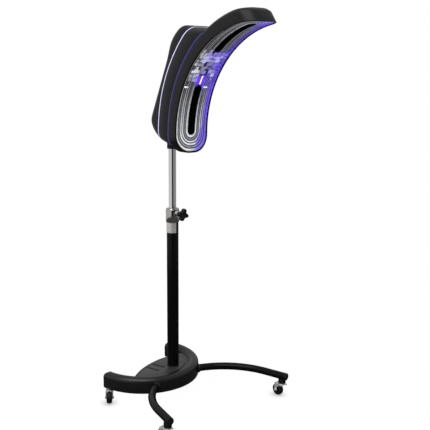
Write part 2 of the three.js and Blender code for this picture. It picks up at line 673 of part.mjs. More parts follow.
const tubeFootSeat = UPPER_TUBE_BOTTOM - FIT;
const tubeFootLow = tubeFootSeat - TUBE_FOOT_FLOOR;
const tubeFootTop = tubeFootLow + TUBE_FOOT_HEIGHT;
add('tube_foot', turned([
  [0, tubeFootLow], [lowerBore - FIT, tubeFootLow], [lowerBore - FIT, tubeFootTop],
  [slideBore, tubeFootTop], [slideBore, tubeFootSeat], [0, tubeFootSeat],
]), NYLON);

add('neck_collar', ring([
  [slideBore, neckCollarLow], [NECK_COLLAR_DIAMETER / 2, neckCollarLow],
  [NECK_COLLAR_DIAMETER / 2, neckCollarLow + NECK_COLLAR_HEIGHT],
  [slideBore, neckCollarLow + NECK_COLLAR_HEIGHT],
]), SATIN_BLACK);

// Hood
const cavityBack = archBack - ARCH_WALL;
const lensFront = RIM_RADIUS + LENS_RECESS;
const lensBack = lensFront + LENS_THICKNESS;
const stripBack = lensBack + FIT + LED_STRIP_DEPTH;
const tubFront = stripBack + FIT;
const tubFloor = cavityBack - FIT - REFLECTOR_SHEET;
const wide = 2 * ARCH_HALF_WIDTH;

function arcShape(inner, outer, from, to, step) {
  const shape = new THREE.Shape();
  const count = Math.max(Math.round((to - from) / step), 1);
  const place = (radius, i) => hoodPlace(radius, from + (to - from) * (i / count)).toArray();
  shape.moveTo(...place(outer, 0));
  for (let i = 1; i <= count; i += 1) shape.lineTo(...place(outer, i));
  for (let i = count; i >= 0; i -= 1) shape.lineTo(...place(inner, i));
  return shape;
}

// A layer of the hood between two radii, its back edges cut off by a chamfer
function layer(inner, outer, halfWidth = wide, chamfer = 0) {
  const geometry = new THREE.ExtrudeGeometry(arcShape(inner, outer, HOOD_START, HOOD_END, HOOD_STEP), {
    depth: 2 * (halfWidth - chamfer),
    bevelEnabled: chamfer > 0,
    bevelThickness: chamfer,
    bevelSize: chamfer,
    bevelOffset: -chamfer,
    bevelSegments: 1,
  });
  return solid(geometry.rotateX(Math.PI / 2).translate(0, halfWidth - chamfer, 0));
}

// A slice of the hood between two angles
function slice(from, to, halfWidth) {
  const geometry = plain(arcShape(RIM_RADIUS - ARCH_DEPTH, archBack + ARCH_DEPTH, from, to, HOOD_STEP),
    -halfWidth, halfWidth);
  return solid(geometry.rotateX(Math.PI / 2));
}

// A strip with a rounded end at x = end, running back past the whole hood
function roundedStrip(end, halfWidth, radius) {
  const start = -2 * HOOD_HEIGHT;
  const shape = new THREE.Shape();
  shape.moveTo(start, -halfWidth);
  shape.lineTo(end - radius, -halfWidth);
  shape.absarc(end - radius, radius - halfWidth, radius, -Math.PI / 2, 0, false);
  shape.absarc(end - radius, halfWidth - radius, radius, 0, Math.PI / 2, false);
  shape.lineTo(start, halfWidth);
  return shape;
}

// Leans the end wall about the top of the rim
const tipLean = new THREE.Matrix4().set(
  1, 0, -ARCH_TIP_LEAN, ARCH_TIP_LEAN * (HOOD_HEIGHT + RIM_RADIUS),
  0, 1, 0, 0,
  0, 0, 1, 0,
  0, 0, 0, 1);

// Everything inside the arch's outline, drawn in by an inset
function archBody(inset) {
  const chamfer = ARCH_CHAMFER - (2 - Math.SQRT2) * inset;
  const halfWidth = ARCH_HALF_WIDTH - inset;
  const radius = ARCH_END_RADIUS - inset;
  const ceiling = HOOD_HEIGHT + 2 * RIM_RADIUS;
  const tipStrip = roundedStrip(hoodForward - ARCH_TIP_BACK - inset, halfWidth, radius);
  const tip = plain(tipStrip, 0, ceiling, CURVE_STEPS);
  tip.applyMatrix4(tipLean);
  const bottomStrip = roundedStrip(ceiling - HOOD_HEIGHT + ARCH_DROP - inset, halfWidth, radius);
  const bottom = plain(bottomStrip, -wide, 2 * hoodForward, CURVE_STEPS);
  bottom.rotateY(Math.PI / 2).translate(0, 0, ceiling);
  return layer(RIM_RADIUS / 2, archBack - inset, halfWidth, chamfer)
    .intersect(solid(tip))
    .intersect(solid(bottom));
}
const archLayer = (inner, outer, inset) => archBody(inset).intersect(layer(inner, outer));

// A round bar pointing at the arc centre
function radialBar(radius, inner, outer, degrees) {
  return solid(bar(radius, inner, outer, SMALL_SIDES).rotateY(rad(degrees - 90))
    .translate(hoodForward, 0, HOOD_HEIGHT));
}

// A long slot with round ends between two angles
function slot([from, to], halfWidth, growth = 0) {
  const reach = deg(VENT_HALF_WIDTH / RIM_RADIUS);
  const ends = [from + reach, to - reach];
  const radius = halfWidth + growth;
  const round = (degrees) => radialBar(radius, RIM_RADIUS - ARCH_DEPTH, archBack + ARCH_DEPTH, degrees);
  return slice(...ends, radius).add(round(ends[0])).add(round(ends[1]));
}

const archCavity = archLayer(RIM_RADIUS / 2, cavityBack, ARCH_WALL);
add('arch_shell', archLayer(RIM_RADIUS, archBack, 0).subtract(archCavity), SATIN_BLACK);

const liner = ARCH_WALL + FIT; // inset of the pieces lining the arch
const lens = archLayer(lensFront, lensBack, liner)
  .subtract(slot(LOWER_VENT, VENT_HALF_WIDTH, FIT))
  .subtract(slot(UPPER_VENT, VENT_HALF_WIDTH, FIT));
add('lens_cover', lens, CLEAR);

const ledStrip = archLayer(lensBack + FIT, stripBack, liner)
  .subtract(archLayer(lensBack, tubFront, liner + LED_STRIP_WIDTH));
add('led_strip', ledStrip, LIT_VIOLET);

const reflector = archLayer(tubFront, cavityBack - FIT, liner)
  .subtract(archLayer(lensBack, tubFloor, liner + REFLECTOR_SHEET));
add('reflector', reflector, MIRROR);

function vent(angles) {
  const outside = slot(angles, VENT_HALF_WIDTH).intersect(layer(lensFront - VENT_PROUD, tubFloor - FIT));
  return outside.subtract(slot(angles, VENT_HALF_WIDTH - VENT_WALL)
    .intersect(layer(RIM_RADIUS / 2, tubFloor - FIT - VENT_WALL)));
}
add('vent_lower', vent(LOWER_VENT), SATIN_BLACK);
add('vent_upper', vent(UPPER_VENT), SATIN_BLACK);

// Lamps: U-shaped tubes round the vents, their ends in ceramic holders
class LampLine extends THREE.Curve {
  constructor(start, turn) {
    super();
    this.start = start;
    this.turn = turn;
  }

  getPoint(t) {
    const straight = rad(Math.abs(this.turn - this.start)) * lampRadius;
    const along = (t - 0.5) * (2 * straight + Math.PI * LAMP_HALF_SPACING);
    const side = Math.sign(along);
    const onBend = Math.min(Math.abs(along) / LAMP_HALF_SPACING, Math.PI / 2);
    const beyond = Math.max(Math.abs(along) - LAMP_HALF_SPACING * Math.PI / 2, 0);
    const away = Math.sign(this.turn - this.start);
    const past = LAMP_HALF_SPACING * Math.cos(onBend) - beyond;
    const place = hoodPlace(lampRadius, this.turn + away * deg(past / lampRadius));
    return new THREE.Vector3(place.x, side * LAMP_HALF_SPACING * Math.sin(onBend), place.y);
  }
}

function lamp(start, turn) {
  const options = { extrudePath: new LampLine(start, turn), steps: LAMP_STEPS, bevelEnabled: false };
  return new THREE.ExtrudeGeometry(disc(LAMP_DIAMETER / 2, LAMP_SIDES), options);
}

const holderFit = deg(FIT / lampRadius);
const holderFaces = [LOWER_VENT[1] + HOLDER_GAP, UPPER_VENT[0] - HOLDER_GAP];
const lowerHolder = [holderFaces[0], holderFaces[0] + HOLDER_ANGLE];
const upperHolder = [holderFaces[1] - HOLDER_ANGLE, holderFaces[1]];
add('lamp_lower', lamp(holderFaces[0] - holderFit, LOWER_VENT[0] + LAMP_TURN_INSET), QUARTZ);
add('lamp_upper', lamp(holderFaces[1] + holderFit, UPPER_VENT[1] - LAMP_TURN_INSET), QUARTZ);

const seat = tubFloor - FIT;
const holderLayer = layer(lensBack + HOLDER_TOP_GAP, seat);
const holder = (angles) => holderLayer.intersect(slice(...angles, HOLDER_HALF_WIDTH));
add('lamp_holder_lower', holder(lowerHolder), CERAMIC);
add('lamp_holder_upper', holder(upperHolder), CERAMIC);

const clusterEnds = [lowerHolder[1] + HOLDER_GAP, upperHolder[0] - HOLDER_GAP];
const ribPitch = (clusterEnds[1] - clusterEnds[0]) / (2 * CLUSTER_RIBS - 1);
const ribTop = lensBack + CLUSTER_TOP_GAP;
const ribLayer = layer(ribTop, seat);
let cluster = layer(ribTop + CLUSTER_RIB_HEIGHT, seat).intersect(slice(...clusterEnds, CLUSTER_HALF_WIDTH));
for (let i = 0; i < CLUSTER_RIBS; i += 1) {
  const from = clusterEnds[0] + 2 * i * ribPitch;
  cluster = cluster.add(ribLayer.intersect(slice(from, from + ribPitch, CLUSTER_HALF_WIDTH)));
}
add('led_cluster', cluster, CLEAR);

// Housing behind the arch: one rounded form, sliced by the hood's radii
const backRun = waist.clone().sub(rear).normalize();
const shoulderRun = shoulder.clone().sub(waist).normalize();
const crownRun = new THREE.Vector2(1, -HOUSING_FALL).normalize();

function housingProfile() {
  const heelPull = heel.clone().add(new THREE.Vector2(-1, HEEL_RISE).multiplyScalar(HEEL_PULL));
  const rearPull = rear.clone().addScaledVector(backRun, -REAR_PULL);
  const shoulderPull = shoulder.clone().addScaledVector(shoulderRun, SHOULDER_PULL);
  const crownPull = crown.clone().addScaledVector(crownRun, -CROWN_PULL);
  const brow = crown.clone().addScaledVector(crownRun, RIM_RADIUS / 2);
  const shape = new THREE.Shape();
  shape.moveTo(hoodForward / 2, heel.y);
  shape.lineTo(brow.x, HOOD_HEIGHT);
  shape.lineTo(brow.x, brow.y);
  shape.lineTo(crown.x, crown.y);
  shape.bezierCurveTo(crownPull.x, crownPull.y, shoulderPull.x, shoulderPull.y, shoulder.x, shoulder.y);
  shape.lineTo(waist.x, waist.y);
  shape.lineTo(rear.x, rear.y);
  shape.bezierCurveTo(rearPull.x, rearPull.y, heelPull.x, heelPull.y, heel.x, heel.y);
  return shape;
}

function housingBody(inset) {
  const geometry = new THREE.ExtrudeGeometry(housingProfile(), {
    depth: 2 * (HOUSING_HALF_WIDTH - HOUSING_ROUNDING),
    bevelThickness: HOUSING_ROUNDING - inset,
    bevelSize: HOUSING_ROUNDING - inset,
    bevelOffset: -HOUSING_ROUNDING,
    bevelSegments: HOUSING_BEVEL_STEPS,
    curveSegments: CURVE_STEPS,
  });
  return solid(geometry.rotateX(Math.PI / 2).translate(0, HOUSING_HALF_WIDTH - HOUSING_ROUNDING, 0));
}
const housing = housingBody(0);
const housingShell = housing.subtract(housingBody(HOUSING_WALL));
const stripRing = housing.subtract(housingBody(LIGHT_STRIP_WIDTH));

const frontStrip = archBack + FIT;
const midFront = frontStrip + LIGHT_STRIP + FIT;
const rearStrip = archBack + SPLIT_DEPTH - LIGHT_STRIP;
const rearFront = rearStrip + LIGHT_STRIP + FIT;
const farBack = 2 * archBack;
add('front_light_strip', stripRing.intersect(layer(frontStrip, frontStrip + LIGHT_STRIP)), LIT_VIOLET);
const tubeHole = solid(bar(slideBore, neckCollarLow, bracketTop - BRACKET_CAP));
const behind = (ringBody, from, to) => ringBody.intersect(layer(from, to)).subtract(tubeHole);
add('mid_shell', behind(housingShell, midFront, rearStrip - FIT), SATIN_BLACK);
add('rear_light_strip', behind(stripRing, rearStrip, rearStrip + LIGHT_STRIP), LIT_WHITE);
add('rear_cover', behind(housingShell, rearFront, farBack), SATIN_BLACK);

const sleeveRadius = slideBore + BRACKET_WALL;
const web = block([0, -BRACKET_WEB_HALF_WIDTH, bracketTop - BRACKET_WEB_HEIGHT],
  [hoodForward / 2, BRACKET_WEB_HALF_WIDTH, bracketTop - BRACKET_CAP]);
const bracket = web.subtract(layer(RIM_RADIUS / 2, archBack + FIT))
  .add(solid(bar(sleeveRadius, bracketLow, bracketTop)))
  .subtract(tubeHole);
add('neck_bracket', bracket, STEEL);

// The power supply leans on the back of the arch, its lower edge just over the bracket
const [supplyDepth, supplyWidth, supplyHeight] = SUPPLY_SIZE;
const supplyFace = archBack + FIT;
const supplyRise = bracketTop + SUPPLY_GAP - HOOD_HEIGHT;
const supplyAngle = Math.asin(supplyRise / Math.hypot(supplyFace, supplyHeight / 2))
  + Math.atan2(supplyHeight / 2, supplyFace);
const supply = new THREE.BoxGeometry(supplyDepth, supplyWidth, supplyHeight)
  .translate(-(supplyFace + supplyDepth / 2), 0, 0)
  .rotateY(supplyAngle)
  .translate(hoodForward, 0, HOOD_HEIGHT);
add('power_supply', supply, STEEL);

// Controls on the flat back: x points out of the back, z up along it
const controls = new THREE.Group();
const out = new THREE.Vector3(-backRun.y, 0, backRun.x);
const up = new THREE.Vector3(backRun.x, 0, backRun.y);
controls.quaternion.setFromRotationMatrix(new THREE.Matrix4().makeBasis(out, up.clone().cross(out), up));
const backMiddle = rear.clone().lerp(waist, 0.5);
controls.position.set(backMiddle.x, 0, backMiddle.y);
part.add(controls);

// A box standing on a face, given its size and where its middle is
function plateAt([depth, width, height], face, y, z) {
  return block([face, y - width / 2, z - height / 2], [face + depth, y + width / 2, z + height / 2]);
}

const panelRise = rear.distanceTo(waist) / 2 - PANEL_MARGIN - PANEL_SIZE[2] / 2;
const inletDrop = PANEL_SIZE[2] / 2 + INLET_GAP + INLET_SIZE[2] / 2 - panelRise;
const panelFront = FIT + PANEL_SIZE[0];
const displayHeight = panelRise + DISPLAY_RISE;
const grow = (size, by) => size.map((value) => value + 2 * by);
let panel = plateAt(PANEL_SIZE, FIT, 0, panelRise)
  .subtract(plateAt(grow(DISPLAY_SIZE, FIT), panelFront - DISPLAY_SIZE[0], 0, displayHeight));
const buttonPlaces = [[-1, 1], [1, 1], [-1, -1], [1, -1]].map(([side, row]) => ({
  y: side * BUTTON_SPACING / 2,
  z: panelRise - BUTTON_DROP + row * BUTTON_SPACING / 2,
}));
for (const { y, z } of buttonPlaces) {
  panel = panel.subtract(solid(barX(BUTTON_DIAMETER / 2 + FIT, 0, 2 * panelFront, z).translate(0, y, 0)));
}
add('control_panel', panel, GLOSS_BLACK, controls);
const display = plateAt(DISPLAY_SIZE, panelFront - DISPLAY_SIZE[0] + FIT, 0, displayHeight);
add('display_window', display, CLEAR, controls);
buttonPlaces.forEach(({ y, z }, i) => {
  const button = barX(BUTTON_DIAMETER / 2, FIT + BUTTON_LIFT, panelFront + BUTTON_PROUD, z);
  add(`button_${i + 1}`, button.translate(0, y, 0), NYLON, controls);
});
const boardSize = [BOARD_THICKNESS, PANEL_SIZE[1], PANEL_SIZE[2]];
add('control_board', plateAt(boardSize, -(HOUSING_WALL + FIT + BOARD_THICKNESS), 0, panelRise),
  BOARD_GREEN, controls);

const inletFront = FIT + INLET_SIZE[0];
const [switchDepth, switchWidth, switchHeight] = SWITCH_SIZE;
const pocketSize = [switchDepth, switchWidth + 2 * FIT, switchHeight + 2 * SWITCH_SWING];
const socket = plateAt(INLET_SIZE, FIT, 0, -inletDrop)
  .subtract(plateAt(INLET_WELL, inletFront - INLET_WELL[0] + FIT, -SWITCH_SIDE, -inletDrop))
  .subtract(plateAt(pocketSize, inletFront - SWITCH_POCKET, SWITCH_SIDE, -inletDrop));
add('inlet_socket', socket, SATIN_BLACK, controls);

// The rocker turns about a ridge along its back
const rocker = new THREE.Shape();
rocker.moveTo(SWITCH_PROUD, -switchHeight / 2);
rocker.lineTo(SWITCH_DISH, 0);
rocker.lineTo(SWITCH_PROUD, switchHeight / 2);
rocker.lineTo(SWITCH_EDGE, switchHeight / 2);
rocker.lineTo(FIT - SWITCH_POCKET, 0);
rocker.lineTo(SWITCH_EDGE, -switchHeight / 2);
const rockerBody = plain(rocker, -switchWidth / 2, switchWidth / 2).rotateX(Math.PI / 2);
add('power_switch', rockerBody.translate(inletFront, SWITCH_SIDE, -inletDrop), RUBBER_BLACK, controls);

// Stand the whole on the floor with the middle of its outline over the origin
const whole = new THREE.Group();
whole.add(part);
const extent = new THREE.Box3().setFromObject(part, true);
part.position.set(-(extent.min.x + extent.max.x) / 2, -(extent.min.y + extent.max.y) / 2, -extent.min.z);

export default whole;
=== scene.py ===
import json
import math

import bmesh
import bpy
import numpy as np
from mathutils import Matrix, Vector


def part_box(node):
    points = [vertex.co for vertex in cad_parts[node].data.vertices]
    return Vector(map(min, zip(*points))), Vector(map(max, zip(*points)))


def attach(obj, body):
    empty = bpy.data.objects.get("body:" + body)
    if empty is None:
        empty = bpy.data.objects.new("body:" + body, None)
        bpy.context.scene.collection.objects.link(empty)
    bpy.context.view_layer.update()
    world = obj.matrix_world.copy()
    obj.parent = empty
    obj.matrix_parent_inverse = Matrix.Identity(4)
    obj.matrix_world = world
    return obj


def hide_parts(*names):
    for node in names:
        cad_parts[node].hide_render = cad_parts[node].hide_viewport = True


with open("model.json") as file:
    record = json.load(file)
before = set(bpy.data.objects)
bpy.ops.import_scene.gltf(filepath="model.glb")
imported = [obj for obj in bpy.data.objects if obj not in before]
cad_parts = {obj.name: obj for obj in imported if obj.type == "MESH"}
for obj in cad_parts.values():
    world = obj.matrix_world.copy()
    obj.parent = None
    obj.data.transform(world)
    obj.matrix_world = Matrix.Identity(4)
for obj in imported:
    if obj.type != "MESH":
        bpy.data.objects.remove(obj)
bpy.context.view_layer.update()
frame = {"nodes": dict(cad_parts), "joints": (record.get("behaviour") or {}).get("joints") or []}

bl_info = {
    "name": "Hair colour processor",
    "version": (1, 0, 0),
    "blender": (4, 5, 0),
    "location": "View3D > Sidebar > Processor",
    "description": "Dresses a hair colour processor: hood, lamps, mast, rolling stand and studio",
    "category": "Object",
}

MM = 0.001
CASTERS = ("front_right", "front_left", "rear_right", "rear_left")


def middle(node):
    """The middle of a CAD node's box."""
    low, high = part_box(node)
    return (np.array(low) + np.array(high)) / 2


MAST_X, MAST_Y = middle("upper_tube")[:2]
TRAY_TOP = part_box("tray_mat")[0].z
LEG_HEIGHT = middle("leg_tube")[2]
JOINTS = {joint["name"]: joint for joint in frame["joints"]}


# Settings


def length(name, description, default):
    return bpy.props.FloatProperty(
        name=name, description=description, default=default, min=0, precision=4, subtype="DISTANCE", unit="LENGTH")


def tint(name, description, default):
    return bpy.props.FloatVectorProperty(
        name=name, description=description, default=(*default, 1), size=4, min=0, max=1, subtype="COLOR")


def share(name, description, default, top=1):
    return bpy.props.FloatProperty(
        name=name, description=description, default=default, min=0, max=top, subtype="FACTOR")


def amount(name, description, default):
    return bpy.props.FloatProperty(name=name, description=description, default=default, min=0)


class HoodSizes(bpy.types.PropertyGroup):
    """Sizes of the hood, which is built of arcs about one centre."""

    forward: length("Forward", "Mast axis to the arc centre", 430 * MM)
    height: length("Height", "Floor to the arc centre", 902 * MM)
    rim: length("Rim radius", "Front edge of the arch", 331.5 * MM)
    depth: length("Arch depth", "Rim to the back of the arch", 42.5 * MM)
    half_width: length("Half width", "Half the width of the arch", 68 * MM)
    wall: length("Arch wall", "Thickness of the arch's wall", 6 * MM)
    chamfer: length("Chamfer", "Cut along the back edges of the arch", 9 * MM)
    end_radius: length("End radius", "Corner radius of the arch's two ends", 58 * MM)
    drop: length("Drop", "Arc centre down to the lower end", 59.5 * MM)
    tip_back: length("Tip", "Arc centre back to the tip at the rim", 3 * MM)
    tip_lean: amount("Tip lean", "How far the end wall leans back as it rises", 0.7)
    lens_recess: length("Lens recess", "Rim to the face of the clear cover", 2.5 * MM)
    lens_thickness: length("Lens thickness", "Thickness of the clear cover", 3 * MM)
    ridge_pitch: length("Ridge pitch", "Distance from ridge to ridge of the clear cover", 7.73 * MM)
    ridge_depth: length("Ridge depth", "Depth of the clear cover's ridges", 1.8 * MM)
    vent_half: length("Vent half width", "Half the width of an air vent", 15 * MM)
    housing_half: length("Housing half width", "Half the width of the housing behind the arch", 62 * MM)
    housing_round: length("Housing rounding", "Rounding of the housing's sides", 26 * MM)
    housing_wall: length("Housing wall", "Thickness of the housing's wall", 2.8 * MM)


class StandSizes(bpy.types.PropertyGroup):
    """Sizes of the mast, the legs, the foot and the casters."""

    lower_tube: length("Lower tube", "Diameter of the lower mast tube", 40 * MM)
    upper_tube: length("Upper tube", "Diameter of the sliding mast tube", 25 * MM)
    leg_tube: length("Leg tube", "Diameter of the bent leg tube", 25 * MM)
    leg_bend: length("Leg bend", "Radius of the leg tube's bend", 242 * MM)
    leg_forward: length("Leg forward", "Mast axis to the middle of the bend", 35 * MM)
    leg_straight: length("Leg straight", "Straight run at each end of the leg tube", 79 * MM)
    leg_splay: bpy.props.FloatProperty(
        name="Leg splay", description="How far each leg points outwards", default=math.radians(13.5), subtype="ANGLE")
    foot_turn: bpy.props.FloatProperty(
        name="Foot turn", description="Turn of the foot about the mast", default=math.radians(15), subtype="ANGLE")
    foot_back: length("Foot back", "Mast axis back to the band's centre", 105 * MM)
    foot_side: length("Foot side", "Mast axis sideways to the band's centre", 26 * MM)
    foot_radius: length("Foot radius", "Outer radius of the band", 190 * MM)
    foot_band: length("Foot band", "Width of the band", 36 * MM)
    foot_bottom: length("Foot bottom", "Floor to the lower edge of the band", 50 * MM)
    foot_top: length("Foot top", "Floor to the top of the band", 102 * MM)
    foot_shoulder: length("Foot shoulder", "Rounding of the band's top", 16 * MM)
    foot_half_angle: bpy.props.FloatProperty(
        name="Foot half angle", description="Half the sweep of the band", default=math.radians(101), subtype="ANGLE")
    wheel: length("Wheel", "Diameter of a caster's wheel", 40 * MM)
    wheel_width: length("Wheel width", "Width of a caster's wheel", 17 * MM)
    knob: length("Knob", "Diameter of the star knob", 42 * MM)


class Finishes(bpy.types.PropertyGroup):
    """Colours and light of the finishes."""

    shell: tint("Shell", "Charcoal moulding of the hood", (0.008, 0.008, 0.009))
    tube: tint("Tube", "Black coat of the tubes", (0.0045, 0.0045, 0.0045))
    foot: tint("Foot", "Moulding of the foot", (0.012, 0.012, 0.012))
    mat: tint("Mat", "Rubber mat on the tray", (0.034, 0.034, 0.035))
    violet: tint("Violet", "Light of the lamps", (0.12, 0.035, 1.0))
    front_line: tint("Front line", "Light of the line behind the arch", (0.045, 0.035, 0.18))
    rear_line: tint("Rear line", "Light of the line before the rear cover", (0.58, 0.57, 0.86))
    line_glow: amount("Line glow", "Strength of the two light lines", 1.0)
    lamp_glow: amount("Lamp glow", "Strength of the violet lamps", 1.5)


class StageSettings(bpy.types.PropertyGroup):
    """Floor, light and camera."""

    floor: tint("Floor", "Pale floor", (0.98, 0.98, 0.98))
    bounce: tint("Bounce", "The floor as the object's own gloss sees it", (0.1, 0.1, 0.1))
    contact: length("Contact shade", "How far round a wheel the floor is shaded", 35 * MM)
    sun: amount("Sun", "Strength of the soft light from above", 1.2)
    focal: amount("Focal length", "Camera's focal length over a 36 mm sensor, in millimetres", 61.77)
    shift: bpy.props.FloatVectorProperty(
        name="Shift", description="Shift of the camera's frame", default=(0.0655, -0.0012), size=2)


# Numpy surfaces


def unit(vectors):
    return vectors / np.linalg.norm(vectors, axis=-1, keepdims=True)


def grid(points, wrap_rows=False, wrap_columns=False):
    """Corners and quads of a grid of points, rows by columns. Wrapping joins the last row or column to the first."""
    rows, columns = points.shape[:2]
    row = np.arange(rows if wrap_rows else rows - 1)
    column = np.arange(columns if wrap_columns else columns - 1)
    a, b = (x.ravel() for x in np.meshgrid(row, column, indexing="ij"))
    c, d = (a + 1) % rows, (b + 1) % columns
    quads = np.stack([a * columns + b, c * columns + b, c * columns + d, a * columns + d], axis=-1)
    return points.reshape(-1, 3), quads


def copies(points, **wraps):
    """Corners and quads of many grids of one layout, stacked along the first axis."""
    count = points.shape[0]
    corners, quads = grid(points[0], **wraps)
    steps = np.arange(count)[:, None, None] * len(corners)
    return points.reshape(-1, 3), (quads[None] + steps).reshape(-1, 4)


def rounded(corners, radii, steps=5):
    """A path of straight runs with arcs for corners. Each arc touches both runs, and its points are spread evenly
    over its angle, as a circular blend between the directions to its two ends."""
    corners = np.asarray(corners, float)
    runs = [corners[:1]]
    for before, here, after, radius in zip(corners, corners[1:], corners[2:], radii):
        back, on = before - here, after - here
        reach = 0.48 * min(np.linalg.norm(back), np.linalg.norm(on))
        back, on = unit(back), unit(on)
        half = math.acos(np.clip(back @ on, -1, 1)) / 2
        cut = min(radius / math.tan(half), reach)
        centre = here + unit(back + on) * cut / math.cos(half)
        first, last = here + back * cut - centre, here + on * cut - centre
        sweep = math.pi - 2 * half
        t = np.linspace(0, 1, steps)[:, None]
        runs.append(centre + (np.sin((1 - t) * sweep) * first + np.sin(t * sweep) * last) / math.sin(sweep))
    runs.append(corners[-1:])
    return np.concatenate(runs)


def turned(profile, place, axis=(0, 0, 1), sides=64):
    """A turned surface: each (radius, height) of the profile is carried round the axis through a place."""
    profile = np.asarray(profile, float)
    axis = unit(np.asarray(axis, float))
    other = np.array([1.0, 0, 0]) if abs(axis[0]) < 0.8 else np.array([0, 1.0, 0])
    first = unit(np.cross(axis, other))
    second = np.cross(axis, first)
    angle = np.linspace(0, 2 * math.pi, sides, endpoint=False)[:, None]
    round_ = np.cos(angle) * first + np.sin(angle) * second
    points = np.asarray(place) + profile[:, None, :1] * round_ + profile[:, None, 1:] * axis
    return grid(points, wrap_columns=True)


def swept(path, radius, sides=24, guide=(0, 0, 1), ends=True):
    """A tube: a circle carried along a path, standing square to it and to a guide direction. The ends close to a
    point."""
    path = np.asarray(path, float)
    along = unit(np.gradient(path, axis=0))
    side = unit(np.cross(along, np.broadcast_to(np.asarray(guide, float), path.shape)))
    up = np.cross(side, along)
    angle = np.linspace(0, 2 * math.pi, sides, endpoint=False)[:, None]
    circle = np.cos(angle) * side[:, None] + np.sin(angle) * up[:, None]
    radius = np.broadcast_to(np.asarray(radius, float), len(path))
    points = path[:, None] + radius[:, None, None] * circle
    if ends:
        first, last = np.repeat(path[:1, None], sides, 1), np.repeat(path[-1:, None], sides, 1)
        points = np.concatenate([first, points, last])
    return grid(points, wrap_columns=True)


def boxes(low, high):
    """Boxes between many low and high corners, as grids of three rows round each box's four long edges."""
    low, high = np.atleast_2d(low), np.atleast_2d(high)
    pick = np.array([[0, 0], [1, 0], [1, 1], [0, 1]])
    ends = np.stack([low, high], axis=1)
    ring = np.stack([ends[:, pick[:, 0], 0], ends[:, pick[:, 1], 1]], axis=-1)
    centre = np.repeat(ring.mean(1, keepdims=True), 4, 1)
    layers = [(centre, 0), (ring, 0), (ring, 1), (centre, 1)]
    points = np.stack([np.concatenate([flat, np.repeat(ends[:, level, 2][:, None, None], 4, 1)], axis=-1)
                       for flat, level in layers], axis=1)
    return copies(points, wrap_columns=True)


def make(name, patches, material, body, nodes=(), crease=35, marks=None):
    """Joins surface patches into one piece, welds it, turns its faces outwards, and lets it ride on a body."""
    start, corners, faces = 0, [], []
    for points, quads in patches:
        corners.append(points)
        faces.append(quads + start)
        start += len(points)
    mesh = bpy.data.meshes.new(name)
    mesh.from_pydata(np.concatenate(corners), [], np.concatenate(faces))
    for label, values in (marks or {}).items():
        mesh.attributes.new(label, "FLOAT", "POINT").data.foreach_set("value", values.astype(np.float32).ravel())
    shape = bmesh.new()
    shape.from_mesh(mesh)
    bmesh.ops.remove_doubles(shape, verts=shape.verts, dist=2e-6)
    bmesh.ops.dissolve_degenerate(shape, edges=shape.edges, dist=1e-7)
    bmesh.ops.recalc_face_normals(shape, faces=shape.faces)
    shape.to_mesh(mesh)
    shape.free()
    mesh.polygons.foreach_set("use_smooth", np.ones(len(mesh.polygons), bool))
    mesh.set_sharp_from_angle(angle=math.radians(crease))
    mesh.materials.append(material)
    piece = bpy.data.objects.new(name, mesh)
    bpy.context.scene.collection.objects.link(piece)
    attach(piece, body)
    if nodes:
        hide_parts(*nodes)
    return piece


def wall(piece, thickness):
    """Gives an open skin its wall, inwards."""
    solid = piece.modifiers.new("wall", "SOLIDIFY")
    solid.thickness = thickness
    solid.offset = -1
    solid.use_even_offset = True


def dress(node, material, edge=0.0, crease=35):
    """Finishes a CAD node: its material, a soft edge, and smooth shading below the crease angle."""
    part = frame["nodes"][node]
    part.data.materials.clear()
    part.data.materials.append(material)
    weld = part.modifiers.new("weld", "WELD")
    weld.merge_threshold = 1e-5
    if edge:
        bevel = part.modifiers.new("edge", "BEVEL")
        bevel.width = edge
        bevel.segments = 2
        bevel.limit_method = "ANGLE"
        bevel.angle_limit = math.radians(crease)
        bevel.use_clamp_overlap = True
    smooth = part.modifiers.new("smooth", "NODES")
    smooth.node_group = smoothing(crease)


def smoothing(crease):
    """A modifier group that shades faces smooth and leaves edges past the crease angle sharp."""
    name = f"smooth under {crease}"
    if name in bpy.data.node_groups:
        return bpy.data.node_groups[name]
    tree = bpy.data.node_groups.new(name, "GeometryNodeTree")
    tree.interface.new_socket("Geometry", in_out="INPUT", socket_type="NodeSocketGeometry")
    tree.interface.new_socket("Geometry", in_out="OUTPUT", socket_type="NodeSocketGeometry")
    start = tree.nodes.new("NodeGroupInput")
    end = tree.nodes.new("NodeGroupOutput")
    faces = tree.nodes.new("GeometryNodeSetShadeSmooth")
    edges = tree.nodes.new("GeometryNodeSetShadeSmooth")
    edges.domain = "EDGE"
    angle = tree.nodes.new("GeometryNodeInputMeshEdgeAngle")
    below = tree.nodes.new("FunctionNodeCompare")
    below.data_type = "FLOAT"
    below.operation = "LESS_THAN"
    below.inputs["B"].default_value = math.radians(crease)
    tree.links.new(angle.outputs["Unsigned Angle"], below.inputs["A"])
    tree.links.new(start.outputs[0], faces.inputs["Geometry"])
    tree.links.new(faces.outputs[0], edges.inputs["Geometry"])
    tree.links.new(below.outputs[0], edges.inputs["Shade Smooth"])
    tree.links.new(edges.outputs[0], end.inputs[0])
    return tree


# Shader groups


def put(tree, kind, inputs=None, **settings):
    """Adds a node, sets it, and links or fills its inputs."""
    made = tree.nodes.new(kind)
    for key, value in settings.items():
        setattr(made, key, value)
    for key, value in (inputs or {}).items():
        if isinstance(value, bpy.types.NodeSocket):
            tree.links.new(value, made.inputs[key])
        else:
            made.inputs[key].default_value = value
    return made


